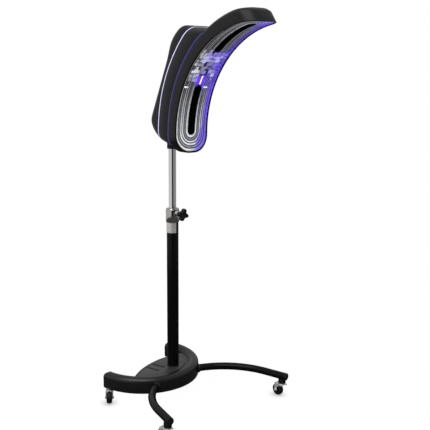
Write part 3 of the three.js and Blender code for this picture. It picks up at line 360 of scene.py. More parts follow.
def new_group(name, takes, gives):
    """A shader group with named inputs, each with its default, and named outputs."""
    tree = bpy.data.node_groups.new(name, "ShaderNodeTree")
    kinds = {"c": "NodeSocketColor", "f": "NodeSocketFloat", "v": "NodeSocketVector"}
    for label, kind, default in takes:
        socket = tree.interface.new_socket(label, in_out="INPUT", socket_type=kinds[kind])
        socket.default_value = default
    for label, kind in gives:
        tree.interface.new_socket(label, in_out="OUTPUT", socket_type=kinds[kind])
    return tree, tree.nodes.new("NodeGroupInput").outputs, tree.nodes.new("NodeGroupOutput").inputs


def math_node(tree, operation, *values):
    made = tree.nodes.new("ShaderNodeMath")
    made.operation = operation
    for socket, value in zip(made.inputs, values):
        if isinstance(value, bpy.types.NodeSocket):
            tree.links.new(value, socket)
        else:
            socket.default_value = value
    return made.outputs[0]


def blend_colours(tree, factor, first, second, mode="MIX"):
    made = tree.nodes.new("ShaderNodeMix")
    made.data_type = "RGBA"
    made.blend_type = mode
    for index, value in ((0, factor), (6, first), (7, second)):
        if isinstance(value, bpy.types.NodeSocket):
            tree.links.new(value, made.inputs[index])
        else:
            made.inputs[index].default_value = value
    return made.outputs[2]


def ramp(tree, value, low, high, floor=0.0, ceiling=1.0):
    made = put(tree, "ShaderNodeMapRange", {"Value": value, "From Min": low, "From Max": high,
                                            "To Min": floor, "To Max": ceiling}, clamp=True)
    return made.outputs["Result"]


def grain_group():
    """Fine grain of a moulding or a coat: broad clouds shift the colour and the gloss, fine noise gives the height."""
    name = "surface grain"
    if name in bpy.data.node_groups:
        return bpy.data.node_groups[name]
    tree, takes, gives = new_group(name, [
        ("Colour", "c", (0.05, 0.05, 0.05, 1)), ("Lighter", "c", (0.08, 0.08, 0.08, 1)),
        ("Grain scale", "f", 900.0), ("Cloud scale", "f", 9.0),
        ("Roughness", "f", 0.45), ("Spread", "f", 0.1)],
        [("Colour", "c"), ("Roughness", "f"), ("Height", "f")])
    where = put(tree, "ShaderNodeTexCoord").outputs["Object"]
    fine = put(tree, "ShaderNodeTexNoise", {"Vector": where, "Scale": takes["Grain scale"], "Detail": 3.0})
    broad = put(tree, "ShaderNodeTexNoise", {"Vector": where, "Scale": takes["Cloud scale"], "Detail": 5.0})
    clouds = ramp(tree, broad.outputs["Fac"], 0.35, 0.7)
    speck = ramp(tree, fine.outputs["Fac"], 0.4, 0.75)
    mixed = math_node(tree, "MULTIPLY_ADD", speck, 0.35, math_node(tree, "MULTIPLY", clouds, 0.65))
    tree.links.new(blend_colours(tree, mixed, takes["Colour"], takes["Lighter"]), gives["Colour"])
    swing = math_node(tree, "MULTIPLY", math_node(tree, "SUBTRACT", clouds, 0.5), takes["Spread"])
    tree.links.new(math_node(tree, "ADD", takes["Roughness"], swing), gives["Roughness"])
    tree.links.new(fine.outputs["Fac"], gives["Height"])
    return tree


def scuff_group():
    """Scuffs and dust of use: stretched noise cut off near its top gives thin marks, broad noise thins them out."""
    name = "scuffs"
    if name in bpy.data.node_groups:
        return bpy.data.node_groups[name]
    tree, takes, gives = new_group(name, [
        ("Colour", "c", (0.05, 0.05, 0.05, 1)), ("Mark", "c", (0.2, 0.2, 0.2, 1)),
        ("Roughness", "f", 0.4), ("Amount", "f", 0.3), ("Scale", "f", 30.0)],
        [("Colour", "c"), ("Roughness", "f"), ("Mask", "f")])
    where = put(tree, "ShaderNodeTexCoord").outputs["Object"]
    turned_ = put(tree, "ShaderNodeMapping", {"Vector": where, "Rotation": (0.5, 0.3, 0.8),
                                              "Scale": (1.0, 9.0, 3.0)}).outputs[0]
    lines = put(tree, "ShaderNodeTexNoise", {"Vector": turned_, "Scale": takes["Scale"], "Detail": 4.0})
    zones = put(tree, "ShaderNodeTexNoise", {"Vector": where, "Scale": 7.0, "Detail": 2.0})
    cut = ramp(tree, lines.outputs["Fac"], 0.63, 0.72)
    mask = math_node(tree, "MULTIPLY", cut, ramp(tree, zones.outputs["Fac"], 0.45, 0.65))
    mask = math_node(tree, "MULTIPLY", mask, takes["Amount"])
    tree.links.new(blend_colours(tree, mask, takes["Colour"], takes["Mark"]), gives["Colour"])
    tree.links.new(math_node(tree, "MULTIPLY_ADD", mask, 0.3, takes["Roughness"]), gives["Roughness"])
    tree.links.new(mask, gives["Mask"])
    return tree


def drawn_group():
    """Drawn metal: noise stretched along one axis gives fine lines in the gloss and the height, broad noise stains it.
    On the collar's chrome the dark patches are painted dark reflections.
    """
    name = "drawn metal"
    if name in bpy.data.node_groups:
        return bpy.data.node_groups[name]
    tree, takes, gives = new_group(name, [
        ("Colour", "c", (0.7, 0.7, 0.7, 1)), ("Stain", "c", (0.4, 0.4, 0.42, 1)),
        ("Stretch", "v", (1.0, 1.0, 0.02)), ("Scale", "f", 700.0),
        ("Roughness", "f", 0.15), ("Spread", "f", 0.1)],
        [("Colour", "c"), ("Roughness", "f"), ("Height", "f")])
    where = put(tree, "ShaderNodeTexCoord").outputs["Object"]
    drawn = put(tree, "ShaderNodeVectorMath", {0: where, 1: takes["Stretch"]}, operation="MULTIPLY").outputs[0]
    lines = put(tree, "ShaderNodeTexNoise", {"Vector": drawn, "Scale": takes["Scale"], "Detail": 2.0})
    stains = put(tree, "ShaderNodeTexNoise", {"Vector": where, "Scale": 35.0, "Detail": 4.0})
    patch = ramp(tree, stains.outputs["Fac"], 0.52, 0.75)
    tree.links.new(blend_colours(tree, patch, takes["Colour"], takes["Stain"]), gives["Colour"])
    swing = math_node(tree, "MULTIPLY", math_node(tree, "SUBTRACT", lines.outputs["Fac"], 0.5), takes["Spread"])
    dull = math_node(tree, "MULTIPLY_ADD", patch, takes["Spread"], takes["Roughness"])
    tree.links.new(math_node(tree, "ADD", dull, swing), gives["Roughness"])
    tree.links.new(lines.outputs["Fac"], gives["Height"])
    return tree


# Materials


def start_material(name):
    """A node material with a Principled shader, and the shader itself. None for the shader means it was made before."""
    if name in bpy.data.materials:
        return bpy.data.materials[name], None, None
    material = bpy.data.materials.new(name)
    material.use_nodes = True
    return material, material.node_tree, material.node_tree.nodes["Principled BSDF"]


def use_group(tree, group, **values):
    made = tree.nodes.new("ShaderNodeGroup")
    made.node_tree = group
    for key, value in values.items():
        socket = made.inputs[key.replace("_", " ")]
        if isinstance(value, bpy.types.NodeSocket):
            tree.links.new(value, socket)
        else:
            socket.default_value = value
    return made.outputs


def bump(tree, shader, height, strength, distance):
    made = put(tree, "ShaderNodeBump", {"Height": height, "Strength": strength, "Distance": distance})
    tree.links.new(made.outputs["Normal"], shader.inputs["Normal"])


def lighter(colour, by):
    return (*(min(1.0, value * by) for value in colour[:3]), 1)


def moulding(name, colour, roughness, grain, depth, scuff=0.3, lift=1.35, specular=0.45, coat=0.0):
    """Moulded plastic, rubber or paint: grain, scuffs, and a fine bump."""
    material, tree, shader = start_material(name)
    if shader is None:
        return material
    base = use_group(tree, grain_group(), Colour=tuple(colour), Lighter=lighter(colour, lift), Grain_scale=grain,
                     Roughness=roughness, Spread=0.12)
    worn = use_group(tree, scuff_group(), Colour=base["Colour"], Mark=lighter(colour, 2.6), Amount=scuff,
                     Roughness=base["Roughness"])
    tree.links.new(worn["Colour"], shader.inputs["Base Color"])
    tree.links.new(worn["Roughness"], shader.inputs["Roughness"])
    shader.inputs["Specular IOR Level"].default_value = specular
    if coat:
        shader.inputs["Coat Weight"].default_value = coat
        shader.inputs["Coat Roughness"].default_value = 0.12
    bump(tree, shader, base["Height"], 0.35, depth)
    return material


def metal(name, colour, stain_and_painted_reflection, roughness, spread, stretch, scale=700.0, depth=0.00005, metallic=1.0):
    """Plated or bare metal with drawn lines and faint stains."""
    material, tree, shader = start_material(name)
    if shader is None:
        return material
    base = use_group(tree, drawn_group(), Colour=(*colour, 1), Stain=(*stain_and_painted_reflection, 1), Stretch=stretch, Scale=scale,
                     Roughness=roughness, Spread=spread)
    tree.links.new(base["Colour"], shader.inputs["Base Color"])
    tree.links.new(base["Roughness"], shader.inputs["Roughness"])
    shader.inputs["Metallic"].default_value = metallic
    bump(tree, shader, base["Height"], 0.15, depth)
    return material


def clear(name, colour, roughness, transmission=1.0, ior=1.49, lines=60.0):
    """Clear moulding: faint flow lines in its gloss and its surface."""
    material, tree, shader = start_material(name)
    if shader is None:
        return material
    base = use_group(tree, grain_group(), Colour=(*colour, 1), Lighter=lighter(colour, 1.05), Grain_scale=lines,
                     Roughness=roughness, Spread=0.04)
    tree.links.new(base["Colour"], shader.inputs["Base Color"])
    tree.links.new(base["Roughness"], shader.inputs["Roughness"])
    shader.inputs["Transmission Weight"].default_value = transmission
    shader.inputs["IOR"].default_value = ior
    bump(tree, shader, base["Height"], 0.08, 0.0002)
    return material


def reeded(name, painted_valley_shade, crest, violet, roughness, transmission):
    """Reeded clear moulding with painted light: crests are painted bright and valleys dark, and a painted glow stands
    for the lamps' light seen through the cover and off its reeds. Marks on the surface say how high a reed stands, how
    much painted glow it carries, and how violet that glow is."""
    material, tree, shader = start_material(name)
    if shader is None:
        return material
    mark = {label: put(tree, "ShaderNodeAttribute", attribute_name=label).outputs["Fac"]
            for label in ("crest", "lit", "violet")}
    # Painted highlight and shade: the crests take the bright colour and the valleys the dark one.
    colour = blend_colours(tree, ramp(tree, mark["crest"], 0.25, 0.85), (*painted_valley_shade, 1), (*crest, 1))
    base = use_group(tree, grain_group(), Colour=colour, Lighter=(*crest, 1), Grain_scale=90.0, Cloud_scale=22.0,
                     Roughness=roughness, Spread=0.05)
    tree.links.new(blend_colours(tree, 0.2, colour, base["Colour"]), shader.inputs["Base Color"])
    tree.links.new(base["Roughness"], shader.inputs["Roughness"])
    # Painted glow: emission by the lit mark, in white or violet, stands for lamp light seen through the cover and off
    # its reeds.
    painted_glow = blend_colours(tree, mark["violet"], (*crest, 1), tuple(violet))
    uneven = ramp(tree, base["Height"], 0.3, 0.7, 0.65, 1.0)
    painted_shine = math_node(tree, "MULTIPLY", mark["lit"], uneven)
    tree.links.new(blend_colours(tree, painted_shine, (0, 0, 0, 1), painted_glow), shader.inputs["Emission Color"])
    shader.inputs["Emission Strength"].default_value = 0.9
    shader.inputs["Transmission Weight"].default_value = transmission
    shader.inputs["IOR"].default_value = 1.49
    bump(tree, shader, base["Height"], 0.08, 0.0002)
    return material


def glowing(name, colour, strength, spots=120.0, low=0.6, mark=None):
    """A lit diffuser: the light is a little uneven, as from a row of small lamps behind it, and a mark on the surface says
    where it is lit."""
    material, tree, shader = start_material(name)
    if shader is None:
        return material
    base = use_group(tree, grain_group(), Colour=lighter(colour, low), Lighter=tuple(colour), Grain_scale=400.0,
                     Cloud_scale=spots, Roughness=0.35, Spread=0.1)
    light = base["Colour"]
    if mark:
        lit = put(tree, "ShaderNodeAttribute", attribute_name=mark).outputs["Fac"]
        light = blend_colours(tree, lit, (0, 0, 0, 1), light)
    tree.links.new(light, shader.inputs["Emission Color"])
    tree.links.new(base["Colour"], shader.inputs["Base Color"])
    tree.links.new(base["Roughness"], shader.inputs["Roughness"])
    shader.inputs["Emission Strength"].default_value = strength
    bump(tree, shader, base["Height"], 0.1, 0.0001)
    return material


def finish_set(context):
    """The object's finishes, by slot."""
    own = context.scene.processor_finishes
    return {
        "shell": moulding("charcoal shell", own.shell, 0.38, 1400.0, 0.0002, scuff=0.12, specular=0.3),
        "vent": moulding("black vent", (0.004, 0.004, 0.004, 1), 0.7, 900.0, 0.0002, scuff=0.0, specular=0.2),
        "black_tube": moulding("black coat", own.tube, 0.2, 500.0, 0.0001, scuff=0.1, lift=1.2, specular=0.14),
        "leg": moulding("gloss black coat", own.tube, 0.14, 500.0, 0.0001, scuff=0.1, lift=1.2, specular=0.16),
        "panel": moulding("gloss panel", (0.008, 0.008, 0.009, 1), 0.12, 300.0, 0.0001, scuff=0.25, coat=0.5),
        "foot": moulding("foot moulding", own.foot, 0.27, 1100.0, 0.0002, scuff=0.3, lift=1.5, specular=0.42),
        "mat": moulding("tray mat", own.mat, 0.4, 700.0, 0.0003, scuff=0.4, specular=0.6),
        "rubber": moulding("black rubber", (0.008, 0.008, 0.008, 1), 0.65, 800.0, 0.0003, scuff=0.5, specular=0.35),
        "nylon": moulding("off-white nylon", (0.68, 0.66, 0.6, 1), 0.5, 700.0, 0.0001, scuff=0.1, lift=1.06),
        "ceramic": moulding("white ceramic", (0.8, 0.79, 0.77, 1), 0.5, 900.0, 0.0001, scuff=0.1, lift=1.08),
        "electronics": moulding("board", (0.02, 0.09, 0.05, 1), 0.5, 300.0, 0.0003, scuff=0.3, lift=1.8),
        "chrome": metal("chrome", (0.83, 0.83, 0.85), (0.6, 0.6, 0.63), 0.05, 0.06, (1, 1, 0.02)),
        # Collar chrome: its dark stain patches are painted dark reflections.
        "chrome_painted_reflections": metal("chrome with painted reflections", (0.56, 0.54, 0.53), (0.16, 0.15, 0.15), 0.08, 0.14, (1, 1, 0.3), 260.0),
        "zinc": metal("bright zinc", (0.95, 0.95, 0.96), (0.8, 0.8, 0.82), 0.36, 0.16, (0.3, 0.3, 0.3), 300.0,
                      metallic=0.45),
        "steel": metal("grey steel", (0.4, 0.41, 0.42), (0.28, 0.28, 0.29), 0.4, 0.2, (1, 1, 0.05), 400.0),
        "iron": metal("raw iron", (0.12, 0.12, 0.13), (0.08, 0.06, 0.05), 0.6, 0.2, (1, 1, 1), 200.0, 0.0006),
        "label": metal("silver film", (0.98, 0.95, 0.94), (0.85, 0.8, 0.8), 0.4, 0.12, (1, 1, 0.03), 500.0,
                       metallic=0.6),
        "reflector": metal("mirror sheet", (0.66, 0.66, 0.68), (0.45, 0.45, 0.48), 0.42, 0.15, (1, 0.05, 1), 260.0),
        # Reeded cover: painted shade in the valleys, painted highlight on the crests, and a painted glow.
        "reeded": reeded("reeded cover", (0.05, 0.05, 0.06), (0.85, 0.86, 0.88), own.violet, 0.07, 0.5),
        "lens": clear("clear cover", (0.95, 0.955, 0.97), 0.04),
        "quartz": clear("quartz tube", (0.97, 0.96, 0.95), 0.03, ior=1.46),
        "display": clear("dark window", (0.05, 0.05, 0.06), 0.06, transmission=0.5),
        "light_white": glowing("white line", own.rear_line, own.line_glow, low=0.8),
        "front_line": glowing("violet line", own.front_line, own.line_glow, low=0.6),
        "light_violet": glowing("violet lamp", own.violet, own.lamp_glow, low=0.5),
        "edge_light": glowing("edge light", own.violet, own.lamp_glow, low=0.5, mark="lit"),
        "violet_block": glowing("violet block", (0.17, 0.07, 0.95, 1), 1.5, 60.0, 0.5),
        "filament": glowing("filament", (1.0, 0.75, 1.0, 1), 3.0, 200.0, 0.7),
    }


# Hood shapes


def hood_place(hood, radius, angle, across):
    """A place on the hood: back from the arc centre by a radius, up from straight back by an angle, and across."""
    x = MAST_X + hood.forward - radius * np.cos(angle)
    z = hood.height + radius * np.sin(angle)
    return np.stack(np.broadcast_arrays(x, MAST_Y + across, z), axis=-1)


def racetrack(hood, radius, half, turn, low, tip, sides=72, corner=12):
    """Closed loops round the hood's long outline, one for each level. The lower end is drawn in the upright plane and
    the tip in the leaning one, each with quarter circles for corners, and the sides run evenly between them:
    a height h lies at the angle whose sine is h over the radius, and a reach a along the leaning wall at
    g + asin(a over the radius and the wall's slant length), where g is the wall's own angle."""
    radius, half, turn, low, tip = (x[:, None] for x in np.broadcast_arrays(radius, half, turn, low, tip))
    slant = math.hypot(1, hood.tip_lean)
    wall_angle = math.atan2(1, hood.tip_lean)
    at_height = lambda h: np.arcsin((h - hood.height) / radius)
    at_reach = lambda a: wall_angle + np.arcsin((a - hood.forward + hood.tip_lean * hood.rim) / (slant * radius))
    quarter = np.linspace(0, math.pi / 2, corner)
    bend = np.concatenate([-quarter[::-1], quarter])
    sign = np.repeat([-1.0, 1.0], corner)
    end_across = sign * (half - turn) + turn * np.sin(bend)
    tip_angle = at_reach(tip - turn + turn * np.cos(bend))
    low_angle = at_height(low + turn - turn * np.cos(bend))
    run = np.linspace(0, 1, sides + 2)[1:-1]
    first, last = low_angle[:, :1], tip_angle[:, :1]
    side_angle = first + (last - first) * run
    side_across = np.broadcast_to(half, side_angle.shape)
    angle = np.concatenate([side_angle, tip_angle, side_angle[:, ::-1], low_angle[:, ::-1]], axis=1)
    across = np.concatenate([-side_across, end_across, side_across, end_across[:, ::-1]], axis=1)
    return angle, across


def inset_track(hood, radius, inset):
    """The hood's outline drawn in by an inset."""
    inset = np.asarray(inset, float)
    turn = np.maximum(hood.end_radius - inset, MM)
    return racetrack(hood, radius, hood.half_width - inset, turn, hood.height - hood.drop + inset,
                     hood.forward - hood.tip_back - inset)


def arch_skin(hood):
    """The arch: its wall's profile, from behind the lens over the rim, the side and the chamfer to the back, is carried
    round the hood's outline, and the back closes on its middle line."""
    back = hood.rim + hood.depth
    path = rounded([
        (hood.wall, hood.rim + 14 * MM), (hood.wall, hood.rim), (0, hood.rim), (0, back - hood.chamfer),
        (hood.chamfer, back), (hood.end_radius - MM, back)],
        [1.2 * MM, 2.2 * MM, 5 * MM, 5 * MM])
    inset, radius = path.T
    angle, across = inset_track(hood, radius, inset)
    points = hood_place(hood, radius[:, None], angle, across)
    spine = hood_place(hood, radius[-1:, None], angle[-1:], 0 * across[-1:])
    return [grid(np.concatenate([points, spine]), wrap_columns=True)]


VENTS = {"lower": (-0.6, 27.4), "upper": (49.6, 80.1)}  # degrees at the two ends


def vent_centres(hood, name):
    """The angles of the middles of a vent's two round ends."""
    start, end = (math.radians(x) for x in VENTS[name])
    reach = hood.vent_half / hood.rim
    return start + reach, end - reach


def slot_loops(hood, radius, half, first, last, sides=26, corner=14):
    """Closed loops of a long slot: two sides along the arc and a half circle at each end."""
    radius, half = (np.asarray(x, float)[:, None] for x in (radius, half))
    bend = np.linspace(-math.pi / 2, math.pi / 2, corner)
    run = np.linspace(first, last, sides + 2)[None, 1:-1]
    side = np.broadcast_to(run, (len(radius), sides))
    flat = np.broadcast_to(half, side.shape)
    reach = half * np.cos(bend) / radius
    angle = np.concatenate([side, last + reach, side[:, ::-1], first - reach[:, ::-1]], axis=1)
    across = np.concatenate([-flat, half * np.sin(bend), flat, half * np.sin(bend)[::-1]], axis=1)
    return angle, across


REED_PAINTED_GLOW = (0.9, 0.15, 1.0, 0.8, 0.12, 1.0)  # painted glow in each reed of the clear cover, from its edge inwards
REED_PAINTED_GLOW_FALL = ((-9, 0, 8, 18, 27, 40, 62, 80), (1.2, 1.1, 0.85, 0.5, 0.2, 0.14, 0.26, 0.4))  # painted glow by degrees up
PAINTED_HAZE_RISE = ((20, 27, 36, 47, 54, 70, 76, 84), (0, 0.5, 0.7, 0.3, 0.06, 0.06, 0.6, 0.8))  # painted violet haze, by degrees up
# painted violet glow along the edge, by degrees up
PAINTED_VIOLET_FALL = ((-8, 5, 12, 26, 36, 60, 85), (0.6, 0.75, 1.0, 1.0, 0.6, 0.45, 0.45))
PAINTED_VIOLET_EDGE = ((-9, -5, 0, 5), (4, 10, 26, 36))  # where the painted violet glow starts across, in millimetres, by degrees up


def lens_skin(hood):
    """The clear cover: a ring of reeded glass between the hood's outline and the vents, flat behind, and a plain strip
    between the vents. A reed is the upper half of a sine wave of the distance from the edge. Its marks carry painted
    light: a painted glow on the crests that fades from the lower end up, a painted violet glow from one edge, a painted
    violet haze, and a painted violet glow band on the plain strip."""
    face = hood.rim + hood.lens_recess
    back = face + hood.lens_thickness
    inset = hood.wall + 0.3 * MM
    inner = hood.vent_half + 0.3 * MM
    outer = hood.half_width - inset
    low_centre = vent_centres(hood, "lower")[0]
    tip_centre = vent_centres(hood, "upper")[1]
    low_end = hood.height + face * math.sin(low_centre) - inner
    tip_angle = tip_centre + inner / face
    tip_end = (hood.forward - face * math.cos(tip_angle)
               + hood.tip_lean * (face * math.sin(tip_angle) - hood.rim))
    count = 97
    w = np.linspace(0, 1, count)
    half = outer + (inner - outer) * w
    turn = half * (0.84 + 0.16 * w)
    low = hood.height - hood.drop + inset + (low_end - hood.height + hood.drop - inset) * w
    tip = hood.forward - hood.tip_back - inset + (tip_end - hood.forward + hood.tip_back + inset) * w
    reeds = 1 - np.abs(np.sin(math.pi * (outer - half) / hood.ridge_pitch))
    reeds *= np.clip(np.minimum(w, 1 - w) * 30, 0, 1)
    front = face + hood.ridge_depth * reeds
    pick = [0, 24, 48, 72, 96]
    radius = np.concatenate([front, np.full(len(pick), back)])
    rows = np.concatenate([np.arange(count), pick[::-1]])
    angle, across = racetrack(hood, radius, half[rows], turn[rows], low[rows], tip[rows])
    ring = grid(hood_place(hood, radius[:, None], angle, across), wrap_rows=True, wrap_columns=True)
    crest = np.concatenate([1 - reeds, np.zeros(len(pick))])[:, None]
    which = np.clip((outer - half[rows]) / hood.ridge_pitch, 0, len(REED_PAINTED_GLOW) - 1).astype(int)
    degrees = np.degrees(angle)
    # Painted glow on the reed crests, fading from the lower end up.
    lit = crest ** 2 * np.array(REED_PAINTED_GLOW)[which][:, None] * np.interp(degrees, *REED_PAINTED_GLOW_FALL)
    # Painted violet glow from one edge across the cover.
    violet = np.clip((across / MM - np.interp(degrees, *PAINTED_VIOLET_EDGE)) / 14, 0, 1)
    lit = np.maximum(lit, violet * crest * np.interp(degrees, *PAINTED_VIOLET_FALL))
    # Painted violet haze over the middle and the tip.
    painted_haze = np.interp(degrees, *PAINTED_HAZE_RISE) * np.clip((across + 12 * MM) / (40 * MM), 0, 1)
    lit = np.maximum(lit, painted_haze * (0.12 + 0.88 * crest))
    violet = np.maximum(violet, np.clip(painted_haze * 2, 0, 0.9))
    marks = {"crest": crest + 0 * angle, "lit": lit, "violet": violet}
    start, end = vent_centres(hood, "lower")[1], vent_centres(hood, "upper")[0]
    across = np.linspace(-1, 1, 17) * (inner - 0.2 * MM)
    bulge = np.sqrt(np.maximum(inner ** 2 - across ** 2, 0)) + 0.3 * MM
    run = np.linspace(0, 1, 40)[:, None]
    sheets = []
    for radius in (face, back):
        lo, hi = start + bulge / radius, end - bulge / radius
        sheets.append(hood_place(hood, radius, lo + (hi - lo) * run, across))
    loop = np.concatenate([sheets[0], sheets[1][:, ::-1]], axis=1)
    caps = [np.stack([sheets[0][row], sheets[1][row]]) for row in (0, -1)]
    patches = [ring, grid(loop, wrap_columns=True)] + [grid(cap) for cap in caps]
    strip = np.concatenate([corners for corners, _ in patches[1:]])
    degrees = np.degrees(np.arctan2(strip[:, 2] - hood.height, MAST_X + hood.forward - strip[:, 0]))
    # Painted violet glow band on the plain strip, round the filament's place.
    painted_glow = np.exp(-((degrees - 29.5) / 4) ** 2)
    plain = {"crest": 0 * painted_glow, "lit": 0.9 * painted_glow, "violet": 0 * painted_glow + 1}
    return patches, {name: np.concatenate([values.ravel(), plain[name]]) for name, values in marks.items()}


def vent_skin(hood, name):
    """A vent: a tub with a rolled lip, its loops running up the outside, over the lip and down to the floor, where they
    close on the middle line, and a row of louvres across it."""
    first, last = vent_centres(hood, name)
    face = hood.rim + hood.lens_recess - MM
    path = rounded([(hood.vent_half, face + 26 * MM), (hood.vent_half, face), (hood.vent_half - 2 * MM, face),
                    (hood.vent_half - 2 * MM, face + 31 * MM), (2 * MM, face + 31 * MM)], [0.8 * MM, 0.8 * MM, 3 * MM])
    half, radius = path.T
    angle, across = slot_loops(hood, radius, half, first, last)
    points = hood_place(hood, radius[:, None], angle, across)
    floor = hood_place(hood, radius[-1:, None], angle[-1:], 0 * across[-1:])
    tub = grid(np.concatenate([points, floor]), wrap_columns=True)
    count = int((last - first) * hood.rim / (7 * MM))
    wide = np.full(count, hood.vent_half - 2.1 * MM)
    louvres = hood_bars(hood, np.linspace(first, last, count), -wide, wide, face + 14 * MM, 9 * MM, 0.6 * MM, 3 * MM)
    return [tub, louvres]


def hood_bars(hood, angle, start, end, radius, deep, thin, slant=0.0):
    """Many thin bars across the hood: a small rectangle, slanted along the arc, drawn from one side to the other, with
    both ends closed on their middles."""
    ring = np.array([[-1, -1], [1, -1], [1, 1], [-1, 1]])
    reach = radius + deep * (ring[:, 0] + 1) / 2
    along = angle[:, None, None] + (ring[:, 1] * thin + ring[:, 0] * slant) / hood.rim
    across = np.stack([start, end], axis=1)[:, :, None]
    bars = hood_place(hood, reach, along, across)
    ends = np.repeat(bars.mean(2, keepdims=True), 4, 2)
    return copies(np.concatenate([ends[:, :1], bars, ends[:, 1:]], axis=1), wrap_columns=True)


def lamp_path(hood, name, shrink=0.0):
    """The line of a U-shaped lamp: up one side of a vent, a half circle round its far end, and back."""
    spacing = 29 * MM
    radius = hood.rim + 21.5 * MM
    start, end = VENTS[name]
    face, turn = (end + 1, start + 2.6) if name == "lower" else (start - 1, end - 2.6)
    face, turn = math.radians(face), math.radians(turn)
    away = math.copysign(1, turn - face)
    run = np.linspace(face + away * 0.001, turn, 40)[:-1]
    bend = np.linspace(-math.pi / 2, math.pi / 2, 25)
    angle = np.concatenate([run, turn + away * spacing * np.cos(bend) / radius, run[::-1]])
    across = np.concatenate([np.full(39, -spacing), spacing * np.sin(bend), np.full(39, spacing)])
    path = hood_place(hood, radius, angle, across)
    guide = unit(path - np.array([MAST_X + hood.forward, MAST_Y, hood.height]))
    return path, guide


def edge_light_skin(hood):
    """The violet strip: a small rectangle carried round the hood's outline behind the clear cover. Its inner face is
    marked as lit, so it shines across the cover."""
    face = hood.rim + hood.lens_recess + hood.lens_thickness + 0.3 * MM
    inset = hood.wall + 0.3 * MM
    corners = np.array([(0, 3.6), (0, 0), (5.6, 0), (6, 0.4), (6, 3.6)]) * MM
    lit = np.array([0, 0, 0, 1, 1])
    radius = face + corners[:, 1]
    angle, across = inset_track(hood, radius, inset + corners[:, 0])
    points = hood_place(hood, radius[:, None], angle, across)
    return [grid(points, wrap_rows=True, wrap_columns=True)], np.repeat(lit, points.shape[1])


def coil(hood, start, end, across, radius, width, turns):
    """A small coil along the hood: a circle of the coil's width, carried along the arc as it turns."""
    t = np.linspace(0, 1, turns * 16)
    around = 2 * math.pi * turns * t
    return hood_place(hood, radius + width * np.sin(around), math.radians(start) + math.radians(end - start) * t,
                      across + width * np.cos(around))


def square_blocks(hood, angle, across, size, levels, points=20, power=0.35):
    """Many small square lenses: each level is a rounded square, the powers of a circle's sine and cosine, at its own
    share of the size and its own radius."""
    around = np.linspace(0, 2 * math.pi, points, endpoint=False)
    c, s = np.cos(around), np.sin(around)
    p, q = np.sign(c) * np.abs(c) ** power, np.sign(s) * np.abs(s) ** power
    scale, radius = (np.array(x, float)[None, :, None] for x in zip(*levels))
    angle, across = angle[:, None, None], across[:, None, None]
    spots = hood_place(hood, radius, angle + scale * size / 2 * p / radius, across + scale * size / 2 * q)
    return copies(spots, wrap_columns=True)


BLOCK_GLINTS_AND_GLOW = (  # bright spots among the light blocks, partly LED light and partly painted glints: degrees up, millimetres across, light, share of violet
    (36.4, -41, 1.0, 0.2), (33.5, 24, 0.95, 0.25), (43.3, -18, 0.8, 0.5), (47.6, -2, 0.8, 0.9), (43.9, 20, 0.75, 0.45),
    (45.2, 40, 0.6, 0.7), (31, -17, 0.8, 0.9), (31, 18, 0.8, 0.95))


def block_glow_and_glints(hood, angle, across, chance):
    """How bright and how violet each light block's glow is: a low uneven LED light, and a bell curve round each bright
    spot, which is partly LED light and partly painted glint.
    """
    degrees, place, level, hue = np.array(BLOCK_GLINTS_AND_GLOW).T[:, :, None]
    away = np.hypot((angle - np.radians(degrees)) * hood.rim, across - place * MM)
    near = np.exp(-(away / (13 * MM)) ** 2)
    lit = np.clip(0.32 + 0.4 * chance + (near * level).sum(0), 0, 1)
    base = np.clip(0.42 + 0.3 * chance + across / (80 * MM), 0, 1)
    violet = (0.2 * base + (near * hue).sum(0)) / (0.2 + near.sum(0))
    return lit, violet


# Housing shapes

HOUSING_CORNERS = {  # degrees from straight back, and depth behind the arch
    "heel": (-6.2, 1.2 * MM), "rear": (6.96, 104.5 * MM), "waist": (31, 84.9 * MM),
    "shoulder": (36.26, 96 * MM), "crown": (47.4, 81.1 * MM),
}


def housing_line(hood):
    """The housing's side view, from under the heel round the back and over the crown: two straight runs between two
    cubic curves, spread evenly and softened by a running mean. Returns the points and the inward directions."""
    back = hood.rim + hood.depth
    spot = {name: hood_place(hood, back + depth, math.radians(angle), 0)[[0, 2]]
            for name, (angle, depth) in HOUSING_CORNERS.items()}
    t = np.linspace(0, 1, 60)[:, None]
    cubic = lambda a, b, c, d: (1 - t) ** 3 * a + 3 * (1 - t) ** 2 * t * b + 3 * (1 - t) * t ** 2 * c + t ** 3 * d
    up = unit(spot["waist"] - spot["rear"])
    on = unit(spot["shoulder"] - spot["waist"])
    over = unit(np.array([1, -0.18]))
    line = np.concatenate([
        (spot["heel"] + [120 * MM, 0])[None],
        cubic(spot["heel"], spot["heel"] + np.array([-1, 0.12]) * 58 * MM, spot["rear"] - up * 48 * MM, spot["rear"]),
        spot["waist"][None],
        cubic(spot["shoulder"], spot["shoulder"] + on * 16 * MM, spot["crown"] - over * 30 * MM, spot["crown"]),
        (spot["crown"] + over * 165 * MM)[None]])
    reach = np.concatenate([[0], np.cumsum(np.linalg.norm(np.diff(line, axis=0), axis=1))])
    even = np.arange(0, reach[-1], 1 * MM)
    line = np.stack([np.interp(even, reach, line[:, k]) for k in (0, 1)], axis=-1)
    window = np.exp(-0.5 * (np.arange(-18, 19) / 7) ** 2)
    window /= window.sum()
    soft = np.stack([np.convolve(np.pad(line[:, k], 18, mode="reflect", reflect_type="odd"), window, "valid")
                     for k in (0, 1)], axis=-1)
    along = unit(np.gradient(soft, axis=0))
    inward = np.stack([along[:, 1], -along[:, 0]], axis=-1)
    return soft, inward


